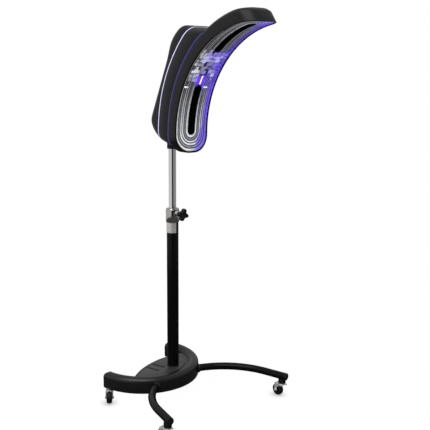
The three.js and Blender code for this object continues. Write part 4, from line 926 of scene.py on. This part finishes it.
def crossings(hood, line, inward, inset, radius):
    """Where the side view, drawn in by an inset, crosses an arc of the hood: the drawn-in line and the two places on
    it, counted in points."""
    drawn = line + inset * inward
    reach = np.hypot(drawn[:, 0] - MAST_X - hood.forward, drawn[:, 1] - hood.height) - radius
    outside = np.flatnonzero(reach > 0)
    a, b = outside[0], outside[-1]
    return drawn, a - reach[a] / (reach[a] - reach[a - 1]), b + reach[b] / (reach[b] - reach[b + 1])


def side_rounding(hood, steps=9):
    """Insets and half widths of the housing's rounded side, from the flat of the back to the flat of the side."""
    bend = np.linspace(0, math.pi / 2, steps)
    return (hood.housing_round * (1 - np.cos(bend)),
            hood.housing_half - hood.housing_round * (1 - np.sin(bend)))


def rear_skin(hood, front, count=110):
    """The rear cover: the side view behind the arc of its front edge, drawn in along the rounded sides but never
    past that edge, and each flat side filled from the last of these lines straight to the front edge."""
    line, inward = housing_line(hood)
    insets, halves = side_rounding(hood)
    centre = np.array([MAST_X + hood.forward, hood.height])
    rows, last = [], None
    for inset, half in zip(insets, halves):
        drawn, a, b = crossings(hood, line, inward, inset, front)
        t = np.linspace(a, b, count)
        away = np.stack([np.interp(t, np.arange(len(drawn)), drawn[:, k]) for k in (0, 1)], axis=-1) - centre
        last = centre + away * np.maximum(front / np.linalg.norm(away, axis=1, keepdims=True), 1)
        rows.append((last, half))
    edge = hood_place(hood, front, np.arctan2(last[:, 1] - centre[1], centre[0] - last[:, 0]), 0)[:, [0, 2]]
    for w in np.linspace(0, 1, 6)[1:]:
        rows.append((last + (edge - last) * w, hood.housing_half))
    flat = np.stack([row for row, _ in rows])
    half = np.array([half for _, half in rows])
    both = np.concatenate([flat[::-1], flat])
    across = np.concatenate([-half[::-1], half])
    y = np.broadcast_to(MAST_Y + across[:, None], both.shape[:2])
    return [grid(np.stack([both[..., 0], y, both[..., 1]], axis=-1))]


def band_skin(hood, levels):
    """A band of the housing between two arcs: at each level, a radius and an inset, one closed loop runs along the
    bottom, up a side, over the top and down the other side."""
    line, inward = housing_line(hood)
    insets, halves = side_rounding(hood)
    loops = []
    for radius, extra in levels:
        low, high = [], []
        for inset in insets:
            drawn, a, b = crossings(hood, line, inward, inset + extra, radius)
            ends = np.stack([np.interp([a, b], np.arange(len(drawn)), drawn[:, k]) for k in (0, 1)], axis=-1)
            turn = np.arctan2(ends[:, 1] - hood.height, MAST_X + hood.forward - ends[:, 0])
            low.append(turn[0])
            high.append(turn[1])
        low, high, half = np.array(low), np.array(high), halves - extra
        side = np.linspace(low[-1], high[-1], 62)[1:-1]
        angle = np.concatenate([low, side, high[::-1]])
        across = np.concatenate([half, np.full(60, half[-1]), half[::-1]])
        angle = np.concatenate([angle, angle[::-1]])
        across = np.concatenate([across, -across[::-1]])
        loops.append(hood_place(hood, radius, angle, across))
    return [grid(np.stack(loops), wrap_columns=True)]


# Stand shapes


def leg_path(stand, extra=0.0):
    """The leg tube's middle line: straight, round the bend and straight again, by the distance run from its middle."""
    sweep = math.pi / 2 - stand.leg_splay
    bend = stand.leg_bend * sweep
    along = np.linspace(-1, 1, 241) * (bend + stand.leg_straight + extra)
    turn = np.minimum(np.abs(along), bend) / stand.leg_bend
    beyond = np.maximum(np.abs(along) - bend, 0)
    x = stand.leg_forward + stand.leg_bend * (1 - np.cos(turn)) + beyond * np.sin(turn)
    y = np.sign(along) * (stand.leg_bend * np.sin(turn) + beyond * np.cos(turn))
    return np.stack([MAST_X + x, MAST_Y + y, np.full_like(x, LEG_HEIGHT)], axis=-1)


def foot_place(stand, x, y, z):
    """A place on the foot, given from the band's centre with the foot's own turn undone."""
    x, y = x - stand.foot_back, y - stand.foot_side
    c, s = math.cos(stand.foot_turn), math.sin(stand.foot_turn)
    return np.stack(np.broadcast_arrays(MAST_X + c * x - s * y, MAST_Y + s * x + c * y, z), axis=-1)


def band_loops(stand, inset, sides=96, corner=7):
    """Closed loops of the C-shaped band, drawn in by insets: a rectangle with rounded corners, its long way bent round
    the band's centre."""
    inset = np.asarray(inset, float)[:, None]
    half = np.maximum(stand.foot_band / 2 - inset, 1e-5)
    mid = stand.foot_radius - stand.foot_band / 2
    long = stand.foot_half_angle * mid - inset
    turn = np.minimum(np.maximum(9 * MM - inset * 0.6, 0.5 * MM), half * 0.95)
    quarter = np.linspace(0, math.pi / 2, corner)
    run = np.linspace(-1, 1, sides)
    parts = [(run * (long - turn), half + 0 * run)]
    for k, (a, b) in enumerate(((1, 1), (1, -1), (-1, -1), (-1, 1))):
        bend = math.pi / 2 - quarter - k * math.pi / 2
        parts.append((a * (long - turn) + turn * np.cos(bend), b * (half - turn) + turn * np.sin(bend)))
        if k == 1:
            parts.append((-run * (long - turn), -half + 0 * run))
    along = np.concatenate([p[0] for p in parts], axis=1)
    out = np.concatenate([p[1] for p in parts], axis=1)
    return along / mid, mid + out


def band_profile(stand):
    """Insets and heights of the band's section: up the side, over the round shoulder, to the top."""
    bottom, top, round_ = stand.foot_bottom, stand.foot_top, stand.foot_shoulder
    bend = np.linspace(0, math.pi / 2, 10)[1:]
    inset = [0.8 * MM, 0, 0, *(round_ * (1 - np.cos(bend))), stand.foot_band / 2]
    height = [bottom, bottom + 1.5 * MM, top - round_, *(top - round_ + round_ * np.sin(bend)), top]
    return np.array(inset), np.array(height)


def foot_skin(stand):
    """The foot: the band's section carried round its outline and closed along its middle, and the tray, ruled between
    an arc under the band and a flatter rear arc with a rounded edge."""
    inset, height = band_profile(stand)
    angle, radius = band_loops(stand, inset)
    band = foot_place(stand, radius * np.cos(angle), radius * np.sin(angle), height[:, None])
    front = stand.foot_radius - stand.foot_band * 2 / 3
    inner = stand.foot_radius - stand.foot_band
    spread = math.radians(66)
    t = np.linspace(-1, 1, 81)

    def rear(draw):
        half = spread - draw / inner
        x, y = front * math.cos(half), front * math.sin(half)
        start = inner - 126 * MM + draw
        rise = x - start
        bow = (y * y + rise * rise) / (2 * rise)
        sweep = math.asin(y / bow) * t
        return np.stack([start + bow - bow * np.cos(sweep), bow * np.sin(sweep)], axis=-1)

    ahead = np.stack([front * np.cos(spread * t), front * np.sin(spread * t)], axis=-1)
    edge = 5 * MM
    behind = rear(edge)
    top = TRAY_TOP - 0.3 * MM
    rows = [(ahead + (behind - ahead) * w, top) for w in np.linspace(0, 1, 14)]
    for bend in np.linspace(0, math.pi / 2, 7)[1:]:
        rows.append((rear(edge * (1 - math.sin(bend))), top - edge * (1 - math.cos(bend))))
    rows.append((rear(0), stand.foot_bottom))
    tray = np.stack([foot_place(stand, row[:, 0], row[:, 1], np.full(len(t), z)) for row, z in rows])
    return [grid(band, wrap_columns=True), grid(tray)]


def star_skin(stand, place, start, thick):
    """The star knob about X: its radius waves four times round, each level is drawn in by the edge's rounding, and both
    faces close on the axis with a shallow dish."""
    radius = stand.knob / 2
    around = np.linspace(0, 2 * math.pi, 128, endpoint=False)
    wave = radius - 4.5 * MM * (1 - np.cos(4 * (around + math.radians(20))))
    edge = 3 * MM
    bend = np.linspace(0, math.pi / 2, 6)
    inset = np.concatenate([edge * (1 - np.sin(bend)), edge * (1 - np.cos(bend))])
    along = np.concatenate([edge * (1 - np.cos(bend)), thick - edge + edge * np.sin(bend)])
    reach = wave[None] - inset[:, None]
    faces = [(0.0, 0.0)], [(0.62, thick - 0.6 * MM), (0.5, thick - 1.2 * MM), (0.0, thick - 1.2 * MM)]
    rows = [(share_ * wave, x) for share_, x in faces[0]] + list(zip(reach, along))
    rows += [(share_ * np.full_like(wave, radius - 9 * MM), x) for share_, x in faces[1]]
    points = [np.stack([np.full_like(r, place[0] + start + x), place[1] + r * np.cos(around),
                        place[2] + r * np.sin(around)], axis=-1) for r, x in rows]
    return grid(np.stack(points), wrap_columns=True)


# Operators


class PROCESSOR_OT_arch(bpy.types.Operator):
    """Builds the arch of the hood with its clear reeded cover"""

    bl_idname = "processor.arch"
    bl_label = "Arch and clear cover"

    def execute(self, context):
        hood, look = context.scene.processor_hood, finish_set(context)
        make("arch", arch_skin(hood), look["shell"], "hood", ["arch_shell"], crease=50)
        cover, marks = lens_skin(hood)
        make("clear_cover", cover, look["reeded"], "hood", ["lens_cover"], crease=28, marks=marks)
        dress("reflector", look["reflector"])
        strip, lit = edge_light_skin(hood)
        make("edge_light", strip, look["edge_light"], "hood", ["led_strip"], marks={"lit": lit})
        seam = hood_place(hood, hood.rim + 2.4 * MM, np.radians(np.linspace(-8.4, -1.3, 24)), 0.0)
        make("cover_seam", [swept(seam, 1.1 * MM, 12, (0, 1, 0))], look["lens"], "hood")
        return {"FINISHED"}


class PROCESSOR_OT_vents(bpy.types.Operator):
    """Builds the two air vents with their louvres"""

    bl_idname = "processor.vents"
    bl_label = "Air vents"

    def execute(self, context):
        hood, look = context.scene.processor_hood, finish_set(context)
        for name in VENTS:
            make(f"vent_{name}_tub", vent_skin(hood, name), look["vent"], "hood", [f"vent_{name}"])
        return {"FINISHED"}


class PROCESSOR_OT_lamps(bpy.types.Operator):
    """Builds the lamps behind the clear cover, their holders and the block of small lights"""

    bl_idname = "processor.lamps"
    bl_label = "Lamps"

    def execute(self, context):
        hood, look = context.scene.processor_hood, finish_set(context)
        for name in VENTS:
            path, guide = lamp_path(hood, name)
            make(f"lamp_{name}_tube", [swept(path, 5 * MM, 20, guide)], look["quartz"], "hood",
                 [f"lamp_{name}"])
            make(f"lamp_{name}_core", [swept(path[1:-1], 1.1 * MM, 8, guide[1:-1])], look["light_violet"], "hood")
            dress(f"lamp_holder_{name}", look["ceramic"], 0.8 * MM)
        dress("led_cluster", look["lens"], 0.5 * MM)
        face = hood.rim + hood.lens_recess
        rows, columns = np.meshgrid(np.arange(10), np.arange(-4, 5), indexing="ij")
        chance = lambda k: np.modf(np.abs(np.sin(rows * 12.9898 + columns * 78.233 + k)) * 437.585)[0].ravel()
        angle = np.radians(31 + 16.8 * rows / 7).ravel() + (chance(1) - 0.5) * 0.014
        across = (columns * 12 * MM).ravel() + (chance(2) - 0.5) * 5 * MM
        kept = ((np.abs(across) > 14 * MM) | (angle > math.radians(34.6))) & (chance(4) > 0.12)
        kept &= (rows.ravel() < 8) | ((np.abs(across) > 20 * MM) & (chance(5) > 0.4))
        angle, across = angle[kept], across[kept]
        levels = [(1, face + 2.4 * MM), (1, face - 0.6 * MM), (0.92, face - 1.3 * MM), (0.78, face - 1.7 * MM),
                  (0, face - 1.8 * MM)]
        size = ((9.5 + 6.5 * chance(6)) * MM)[kept]
        lit, violet = block_glow_and_glints(hood, angle, across, chance(0)[kept])
        blocks = square_blocks(hood, angle, across, size[:, None, None], levels)
        spread = lambda values: np.repeat(values, 20 * len(levels))
        # Painted highlight: each block's colour and glow grow brighter towards its top.
        painted_top_highlight = np.tile(np.repeat(np.array([0, 0.15, 0.4, 0.9, 1]), 20), len(angle))
        make("light_blocks", [blocks], look["reeded"], "hood",
             marks={"crest": painted_top_highlight * spread(0.25 + 0.75 * lit), "lit": spread(lit) * (0.25 + 0.75 * painted_top_highlight),
                    "violet": spread(violet)})
        bars = np.radians(np.linspace(28.6, 33, 6)).repeat(2)
        side = np.tile([-1.0, 1.0], 6)
        start, end = side * 3 * MM, side * 12 * MM
        comb = hood_bars(hood, bars, np.minimum(start, end), np.maximum(start, end), face - 1.6 * MM, 2 * MM, 0.8 * MM)
        make("filament_comb", [comb], look["violet_block"], "hood")
        wire = coil(hood, 28.4, 32.6, 1 * MM, face - 0.4 * MM, 1.7 * MM, 8)
        guide = np.broadcast_to((0.3, 0.9, 0.2), wire.shape)
        make("filament_coil", [swept(wire, 0.35 * MM, 8, guide)], look["violet_block"], "hood")
        core = hood_place(hood, face - 0.4 * MM, np.radians(np.linspace(28.2, 33, 20)), 1 * MM)
        make("filament", [swept(core, 1.5 * MM, 10, (0, 1, 0))], look["filament"], "hood")
        clips = hood_bars(hood, np.radians([26.4, 26.2]), np.array([-56, 23]) * MM, np.array([-43, 36]) * MM,
                          face - 1.7 * MM, 3 * MM, 1.7 * MM)
        # Painted glow: the clips are plain clear mouldings, given the bright crest colour and an even white glow as
        # painted light.
        flat = np.ones(len(clips[0]))
        make("cover_clips", [clips], look["reeded"], "hood",
             marks={"crest": flat, "lit": 0.8 * flat, "violet": 0.05 * flat})
        return {"FINISHED"}


class PROCESSOR_OT_housing(bpy.types.Operator):
    """Builds the housing behind the arch and its two light lines"""

    bl_idname = "processor.housing"
    bl_label = "Housing"

    def execute(self, context):
        hood, look = context.scene.processor_hood, finish_set(context)
        back = hood.rim + hood.depth
        front, rear = back + 3.6 * MM, back + 49.7 * MM
        roll = 0.9 * MM
        levels = [(front, roll), (front + 0.3 * MM, 0.3 * MM), (front + roll, 0), (rear - roll, 0),
                  (rear - 0.3 * MM, 0.3 * MM), (rear, roll)]
        mid = make("mid_band", band_skin(hood, levels), look["shell"], "hood", ["mid_shell"])
        wall(mid, hood.housing_wall)
        cover = make("rear_case", rear_skin(hood, back + 53.3 * MM), look["shell"], "hood", ["rear_cover"])
        wall(cover, hood.housing_wall)
        dress("front_light_strip", look["front_line"])
        dress("rear_light_strip", look["light_white"])
        dress("neck_bracket", look["steel"], 0.5 * MM)
        dress("power_supply", look["steel"], MM)
        return {"FINISHED"}


class PROCESSOR_OT_controls(bpy.types.Operator):
    """Finishes the controls on the back of the housing"""

    bl_idname = "processor.controls"
    bl_label = "Controls"

    def execute(self, context):
        look = finish_set(context)
        dress("control_panel", look["panel"], 0.6 * MM)
        dress("display_window", look["display"], 0.3 * MM)
        dress("control_board", look["electronics"])
        dress("inlet_socket", look["shell"], 0.6 * MM)
        dress("power_switch", look["rubber"], 0.3 * MM)
        for k in range(1, 5):
            dress(f"button_{k}", look["nylon"], 0.5 * MM)
        out = -unit(np.array(JOINTS["button_1_press"]["axis"]))
        across = np.array([0, 1.0, 0])
        up = np.cross(across, out)
        face = middle("control_panel") + out * 2 * MM
        head = np.array([(0, 0.4), (1.0, 0.4), (1.2, 0.9), (2.0, 0.6), (2.4, 0), (2.4, -1.5)]) * MM
        make("panel_screws", [turned(head, face + across * a * 23 * MM + up * b * 42 * MM, out, 24)
                              for a in (-1, 1) for b in (-1, 1)], look["steel"], "hood")
        well = middle("inlet_socket") + across * 15 * MM
        pin = np.array([(0, 1.8), (1.1, 1.8), (1.5, 1.4), (1.5, -0.6)]) * MM
        make("inlet_pins", [turned(pin, well + across * a * MM + up * b * MM, out, 20)
                            for a, b in ((-5, -2.5), (5, -2.5), (0, 3))], look["zinc"], "hood")
        return {"FINISHED"}


class PROCESSOR_OT_mast(bpy.types.Operator):
    """Builds the mast: the tubes, the clamp collar, the star knob and the collars"""

    bl_idname = "processor.mast"
    bl_label = "Mast"

    def execute(self, context):
        stand, look = context.scene.processor_stand, finish_set(context)
        axis = np.array([MAST_X, MAST_Y, 0])
        low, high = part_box("lower_tube")
        outer, bore = stand.lower_tube / 2, stand.lower_tube / 2 - 2 * MM
        make("lower_mast", [turned(rounded([(bore, low.z), (outer, low.z), (outer, high.z), (bore, high.z)],
                                           [0.5 * MM] * 2), axis, sides=96)],
             look["black_tube"], "stand", ["lower_tube"])
        low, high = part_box("upper_tube")
        outer, bore = stand.upper_tube / 2, stand.upper_tube / 2 - 1.5 * MM
        make("upper_mast", [turned([(bore, low.z), (outer, low.z), (outer, high.z), (bore, high.z), (bore, low.z)],
                                   axis, sides=96)],
             look["chrome"], "mast", ["upper_tube"])
        low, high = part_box("clamp_collar")
        clamp = middle("clamp_pad")[2]
        outer, slide = stand.lower_tube / 2 + 2.7 * MM, stand.upper_tube / 2 + 0.3 * MM
        ring = rounded([(outer - 2.4 * MM, low.z), (outer, low.z), (outer, high.z - 3 * MM), (outer - 3 * MM, high.z),
                        (slide, high.z), (slide, high.z - 12 * MM)], [0.8 * MM, 2 * MM, 2 * MM, 0.8 * MM])
        boss = rounded([(8.5 * MM, outer - 4 * MM), (8.5 * MM, 34 * MM), (4.3 * MM, 34 * MM), (4.3 * MM, 30 * MM)],
                       [MM, 0.5 * MM])
        at_clamp = np.array([MAST_X, MAST_Y, clamp])
        make("clamp_ring", [turned(ring, axis, sides=96), turned(boss, at_clamp, (1, 0, 0), 48)], look["chrome_painted_reflections"],
             "stand", ["clamp_collar"])
        hub = rounded([(4.3 * MM, 37.2 * MM), (9.5 * MM, 37.2 * MM), (9.5 * MM, 47 * MM)], [0.8 * MM])
        make("star_grip", [star_skin(stand, at_clamp, 46.2 * MM, 16 * MM), turned(hub, at_clamp, (1, 0, 0), 48)],
             look["shell"], "knob", ["star_knob"])
        low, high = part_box("neck_collar")
        slide, outer = stand.upper_tube / 2 + 0.3 * MM, high.x - MAST_X
        make("neck_ring", [turned(rounded([(slide, low.z), (outer, low.z), (outer, high.z), (slide, high.z)],
                                          [1.5 * MM] * 2), axis, sides=72)],
             look["shell"], "mast", ["neck_collar"])
        dress("label_band", look["label"])
        for node, finish in (("mast_flange", "steel"), ("guide_bush", "nylon"), ("clamp_pad", "nylon"),
                             ("clamp_screw", "zinc"), ("tube_foot", "nylon")):
            dress(node, look[finish])
        return {"FINISHED"}


class PROCESSOR_OT_foot(bpy.types.Operator):
    """Builds the moulded foot with its tray and mat"""

    bl_idname = "processor.foot"
    bl_label = "Foot"

    def execute(self, context):
        stand, look = context.scene.processor_stand, finish_set(context)
        make("foot_cover", foot_skin(stand), look["foot"], "stand", ["base_shell"])
        dress("tray_mat", look["mat"], 0.4 * MM)
        dress("base_plate", look["steel"], 0.5 * MM)
        dress("ballast", look["iron"])
        return {"FINISHED"}


class PROCESSOR_OT_legs(bpy.types.Operator):
    """Builds the bent leg tube, its end caps and the sockets where it leaves the foot"""

    bl_idname = "processor.legs"
    bl_label = "Legs"

    def execute(self, context):
        stand, look = context.scene.processor_stand, finish_set(context)
        radius = stand.leg_tube / 2
        path = leg_path(stand)
        make("leg_bow", [swept(path, radius, 40, ends=False)], look["leg"], "stand", ["leg_tube"])
        for name, end, before in (("right", path[0], path[1]), ("left", path[-1], path[-2])):
            cap = rounded([(radius - 1.5 * MM, -4 * MM), (radius - 1.5 * MM, 0.3 * MM), (radius, 0.3 * MM),
                           (radius, 5 * MM), (0, 5 * MM)], [0.1 * MM, 0.3 * MM, 4 * MM], 8)
            make(f"leg_plug_{name}", [turned(cap, end, end - before, 48)], look["rubber"], "stand",
                 [f"leg_cap_{name}"])
            low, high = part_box(f"leg_socket_{name}")
            socket = rounded([(5.3 * MM, low.z), ((high.x - low.x) / 2, low.z), ((high.x - low.x) / 2, high.z),
                              (5.3 * MM, high.z)], [1.2 * MM, 0.3 * MM])
            make(f"stem_socket_{name}", [turned(socket, np.array([*middle(f"leg_socket_{name}")[:2], 0]), sides=48)],
                 look["rubber"], "stand", [f"leg_socket_{name}"])
        centre = foot_place(stand, 0.0, 0.0, LEG_HEIGHT)
        outside = np.linalg.norm(path - centre, axis=1) > stand.foot_radius
        for name, where in (("right", np.flatnonzero(outside[:120])[-1]), ("left", 120 + np.flatnonzero(outside[120:])[0])):
            away = unit(path[where] - path[where + (1 if name == "right" else -1)])
            collar = rounded([(radius, -5 * MM), (radius + 3.4 * MM, -5 * MM), (radius + 3.4 * MM, 2 * MM),
                              (radius, 3.5 * MM)], [0.5 * MM, 1.6 * MM])
            make(f"leg_collar_{name}", [turned(collar, path[where], away, 48)], look["rubber"], "stand")
        return {"FINISHED"}


class PROCESSOR_OT_casters(bpy.types.Operator):
    """Builds the wheels of the casters and finishes their forks"""

    bl_idname = "processor.casters"
    bl_label = "Casters"

    def execute(self, context):
        stand, look = context.scene.processor_stand, finish_set(context)
        radius, half = stand.wheel / 2, stand.wheel_width / 2
        tread = rounded([(3.3 * MM, half), (5.5 * MM, half), (5.5 * MM, half - 2.5 * MM), (11 * MM, half - 2.5 * MM),
                         (11 * MM, half), (radius, half), (radius, -half), (11 * MM, -half),
                         (11 * MM, 2.5 * MM - half), (5.5 * MM, 2.5 * MM - half), (5.5 * MM, -half),
                         (3.3 * MM, -half)],
                        [0.3 * MM, 0.6 * MM, 0.6 * MM, MM, 5 * MM, 5 * MM, MM, 0.6 * MM, 0.6 * MM, 0.3 * MM])
        for name in CASTERS:
            roll = JOINTS[f"{name}_roll"]
            make(f"{name}_tyre", [turned(tread, roll["pos_m"], roll["axis"], 64)], look["rubber"], f"{name}_roller",
                 [f"{name}_wheel"])
            dress(f"{name}_fork", look["zinc"], 0.5 * MM)
            dress(f"{name}_axle", look["zinc"], 0.4 * MM)
        return {"FINISHED"}


STUDIO_WALLS = (  # light from round the studio: degrees from +X, and its level
    (-180, 0.5), (180, 0.5), (-150, 0.6), (-72, 0.65), (-60, 0.45), (-52, 0.02), (-22, 0.02), (-14, 0.22), (60, 0.28),
    (120, 0.35))
STUDIO_CEILING = 0.5


class PROCESSOR_OT_stage(bpy.types.Operator):
    """Sets the floor, the studio light and the camera"""

    bl_idname = "processor.stage"
    bl_label = "Stage"

    def execute(self, context):
        stage, scene = context.scene.processor_stage, context.scene
        turn = np.linspace(0, 2 * math.pi, 72, endpoint=False)
        reach = np.array([0, 0.6, 1.4, 2.4])[:, None]
        points = np.stack(np.broadcast_arrays(reach * np.cos(turn), reach * np.sin(turn), 0 * reach), axis=-1)
        corners, quads = grid(points, wrap_columns=True)
        mesh = bpy.data.meshes.new("floor")
        mesh.from_pydata(corners, [], quads)
        floor = bpy.data.objects.new("floor", mesh)
        scene.collection.objects.link(floor)
        material, tree, shader = start_material("pale floor")
        seen = put(tree, "ShaderNodeLightPath").outputs["Is Camera Ray"]
        base = use_group(tree, grain_group(), Colour=tuple(stage.floor), Lighter=lighter(stage.floor, 1.02),
                         Grain_scale=300.0, Cloud_scale=2.0, Roughness=0.6, Spread=0.05)
        near = put(tree, "ShaderNodeAmbientOcclusion", {"Distance": stage.contact}).outputs["AO"]
        shade = blend_colours(tree, ramp(tree, near, 0.3, 0.95), (0.4, 0.4, 0.4, 1), base["Colour"])
        tree.links.new(blend_colours(tree, seen, tuple(stage.bounce), (0.02, 0.02, 0.02, 1)), shader.inputs["Base Color"])
        tree.links.new(base["Roughness"], shader.inputs["Roughness"])
        shader.inputs["Specular IOR Level"].default_value = 0
        tree.links.new(shade, shader.inputs["Emission Color"])
        tree.links.new(seen, shader.inputs["Emission Strength"])
        mesh.materials.append(material)

        world = bpy.data.worlds.new("studio")
        world.use_nodes = True
        scene.world = world
        tree = world.node_tree
        sky = tree.nodes["Background"]
        seen = put(tree, "ShaderNodeLightPath").outputs["Is Camera Ray"]
        way = put(tree, "ShaderNodeTexCoord").outputs["Generated"]
        round_ = put(tree, "ShaderNodeTexGradient", {"Vector": way}, gradient_type="RADIAL").outputs["Fac"]
        walls = put(tree, "ShaderNodeValToRGB", {"Fac": round_})
        stops = walls.color_ramp.elements
        for k, (degrees, level) in enumerate(STUDIO_WALLS):
            stop = stops[k] if k < 2 else stops.new(degrees / 360 + 0.5)
            stop.position = degrees / 360 + 0.5
            stop.color = (level, level, level, 1)
        height = put(tree, "ShaderNodeSeparateXYZ", {"Vector": way}).outputs["Z"]
        above = ramp(tree, height, 0.25, 0.7)
        lit = blend_colours(tree, above, walls.outputs["Color"], (STUDIO_CEILING,) * 3 + (1,))
        tree.links.new(blend_colours(tree, seen, lit, (1, 1, 1, 1)), sky.inputs["Color"])

        sun = bpy.data.objects.new("sun", bpy.data.lights.new("sun", "SUN"))
        sun.data.energy = stage.sun
        sun.data.angle = math.radians(50)
        sun.rotation_euler = look_at(np.array([0.25, -0.45, 0.85])).to_euler()
        scene.collection.objects.link(sun)

        camera = bpy.data.objects.new("camera", bpy.data.cameras.new("camera"))
        camera.data.sensor_width = 36
        camera.data.lens = stage.focal
        camera.data.shift_x, camera.data.shift_y = stage.shift
        camera.data.clip_end = 100
        camera.location = (MAST_X + 1.8963, MAST_Y - 1.5285, 1.0971)
        azimuth, pitch = math.radians(50), math.radians(10.95)
        away = np.array([math.sin(azimuth) * math.cos(pitch), -math.cos(azimuth) * math.cos(pitch), math.sin(pitch)])
        camera.rotation_euler = look_at(away).to_euler()
        scene.collection.objects.link(camera)
        scene.camera = camera
        scene.view_settings.view_transform = "Standard"
        return {"FINISHED"}


def look_at(away):
    """The turn of a lamp or camera whose back points away."""
    from mathutils import Vector
    return Vector(away).to_track_quat("Z", "Y")


class PROCESSOR_PT_panel(bpy.types.Panel):
    """Lists the pieces and their settings"""

    bl_idname = "PROCESSOR_PT_panel"
    bl_label = "Hair colour processor"
    bl_space_type = "VIEW_3D"
    bl_region_type = "UI"
    bl_category = "Processor"

    def draw(self, context):
        for operator in OPERATORS:
            self.layout.operator(operator.bl_idname)
        for group in SETTINGS:
            box = self.layout.box()
            for label in SETTINGS[group].__annotations__:
                box.prop(getattr(context.scene, group), label)


SETTINGS = {
    "processor_hood": HoodSizes, "processor_stand": StandSizes,
    "processor_finishes": Finishes, "processor_stage": StageSettings,
}
OPERATORS = (
    PROCESSOR_OT_stage, PROCESSOR_OT_arch, PROCESSOR_OT_vents, PROCESSOR_OT_lamps, PROCESSOR_OT_housing,
    PROCESSOR_OT_controls, PROCESSOR_OT_mast, PROCESSOR_OT_foot, PROCESSOR_OT_legs, PROCESSOR_OT_casters,
)


def register():
    for made in (*SETTINGS.values(), *OPERATORS, PROCESSOR_PT_panel):
        bpy.utils.register_class(made)
    for name, made in SETTINGS.items():
        setattr(bpy.types.Scene, name, bpy.props.PointerProperty(type=made))


def unregister():
    for name in SETTINGS:
        delattr(bpy.types.Scene, name)
    for made in (PROCESSOR_PT_panel, *reversed(OPERATORS), *reversed(SETTINGS.values())):
        bpy.utils.unregister_class(made)


def main():
    register()
    for operator in OPERATORS:
        family, name = operator.bl_idname.split(".")
        getattr(getattr(bpy.ops, family), name)()


if __name__ == "__main__":
    main()
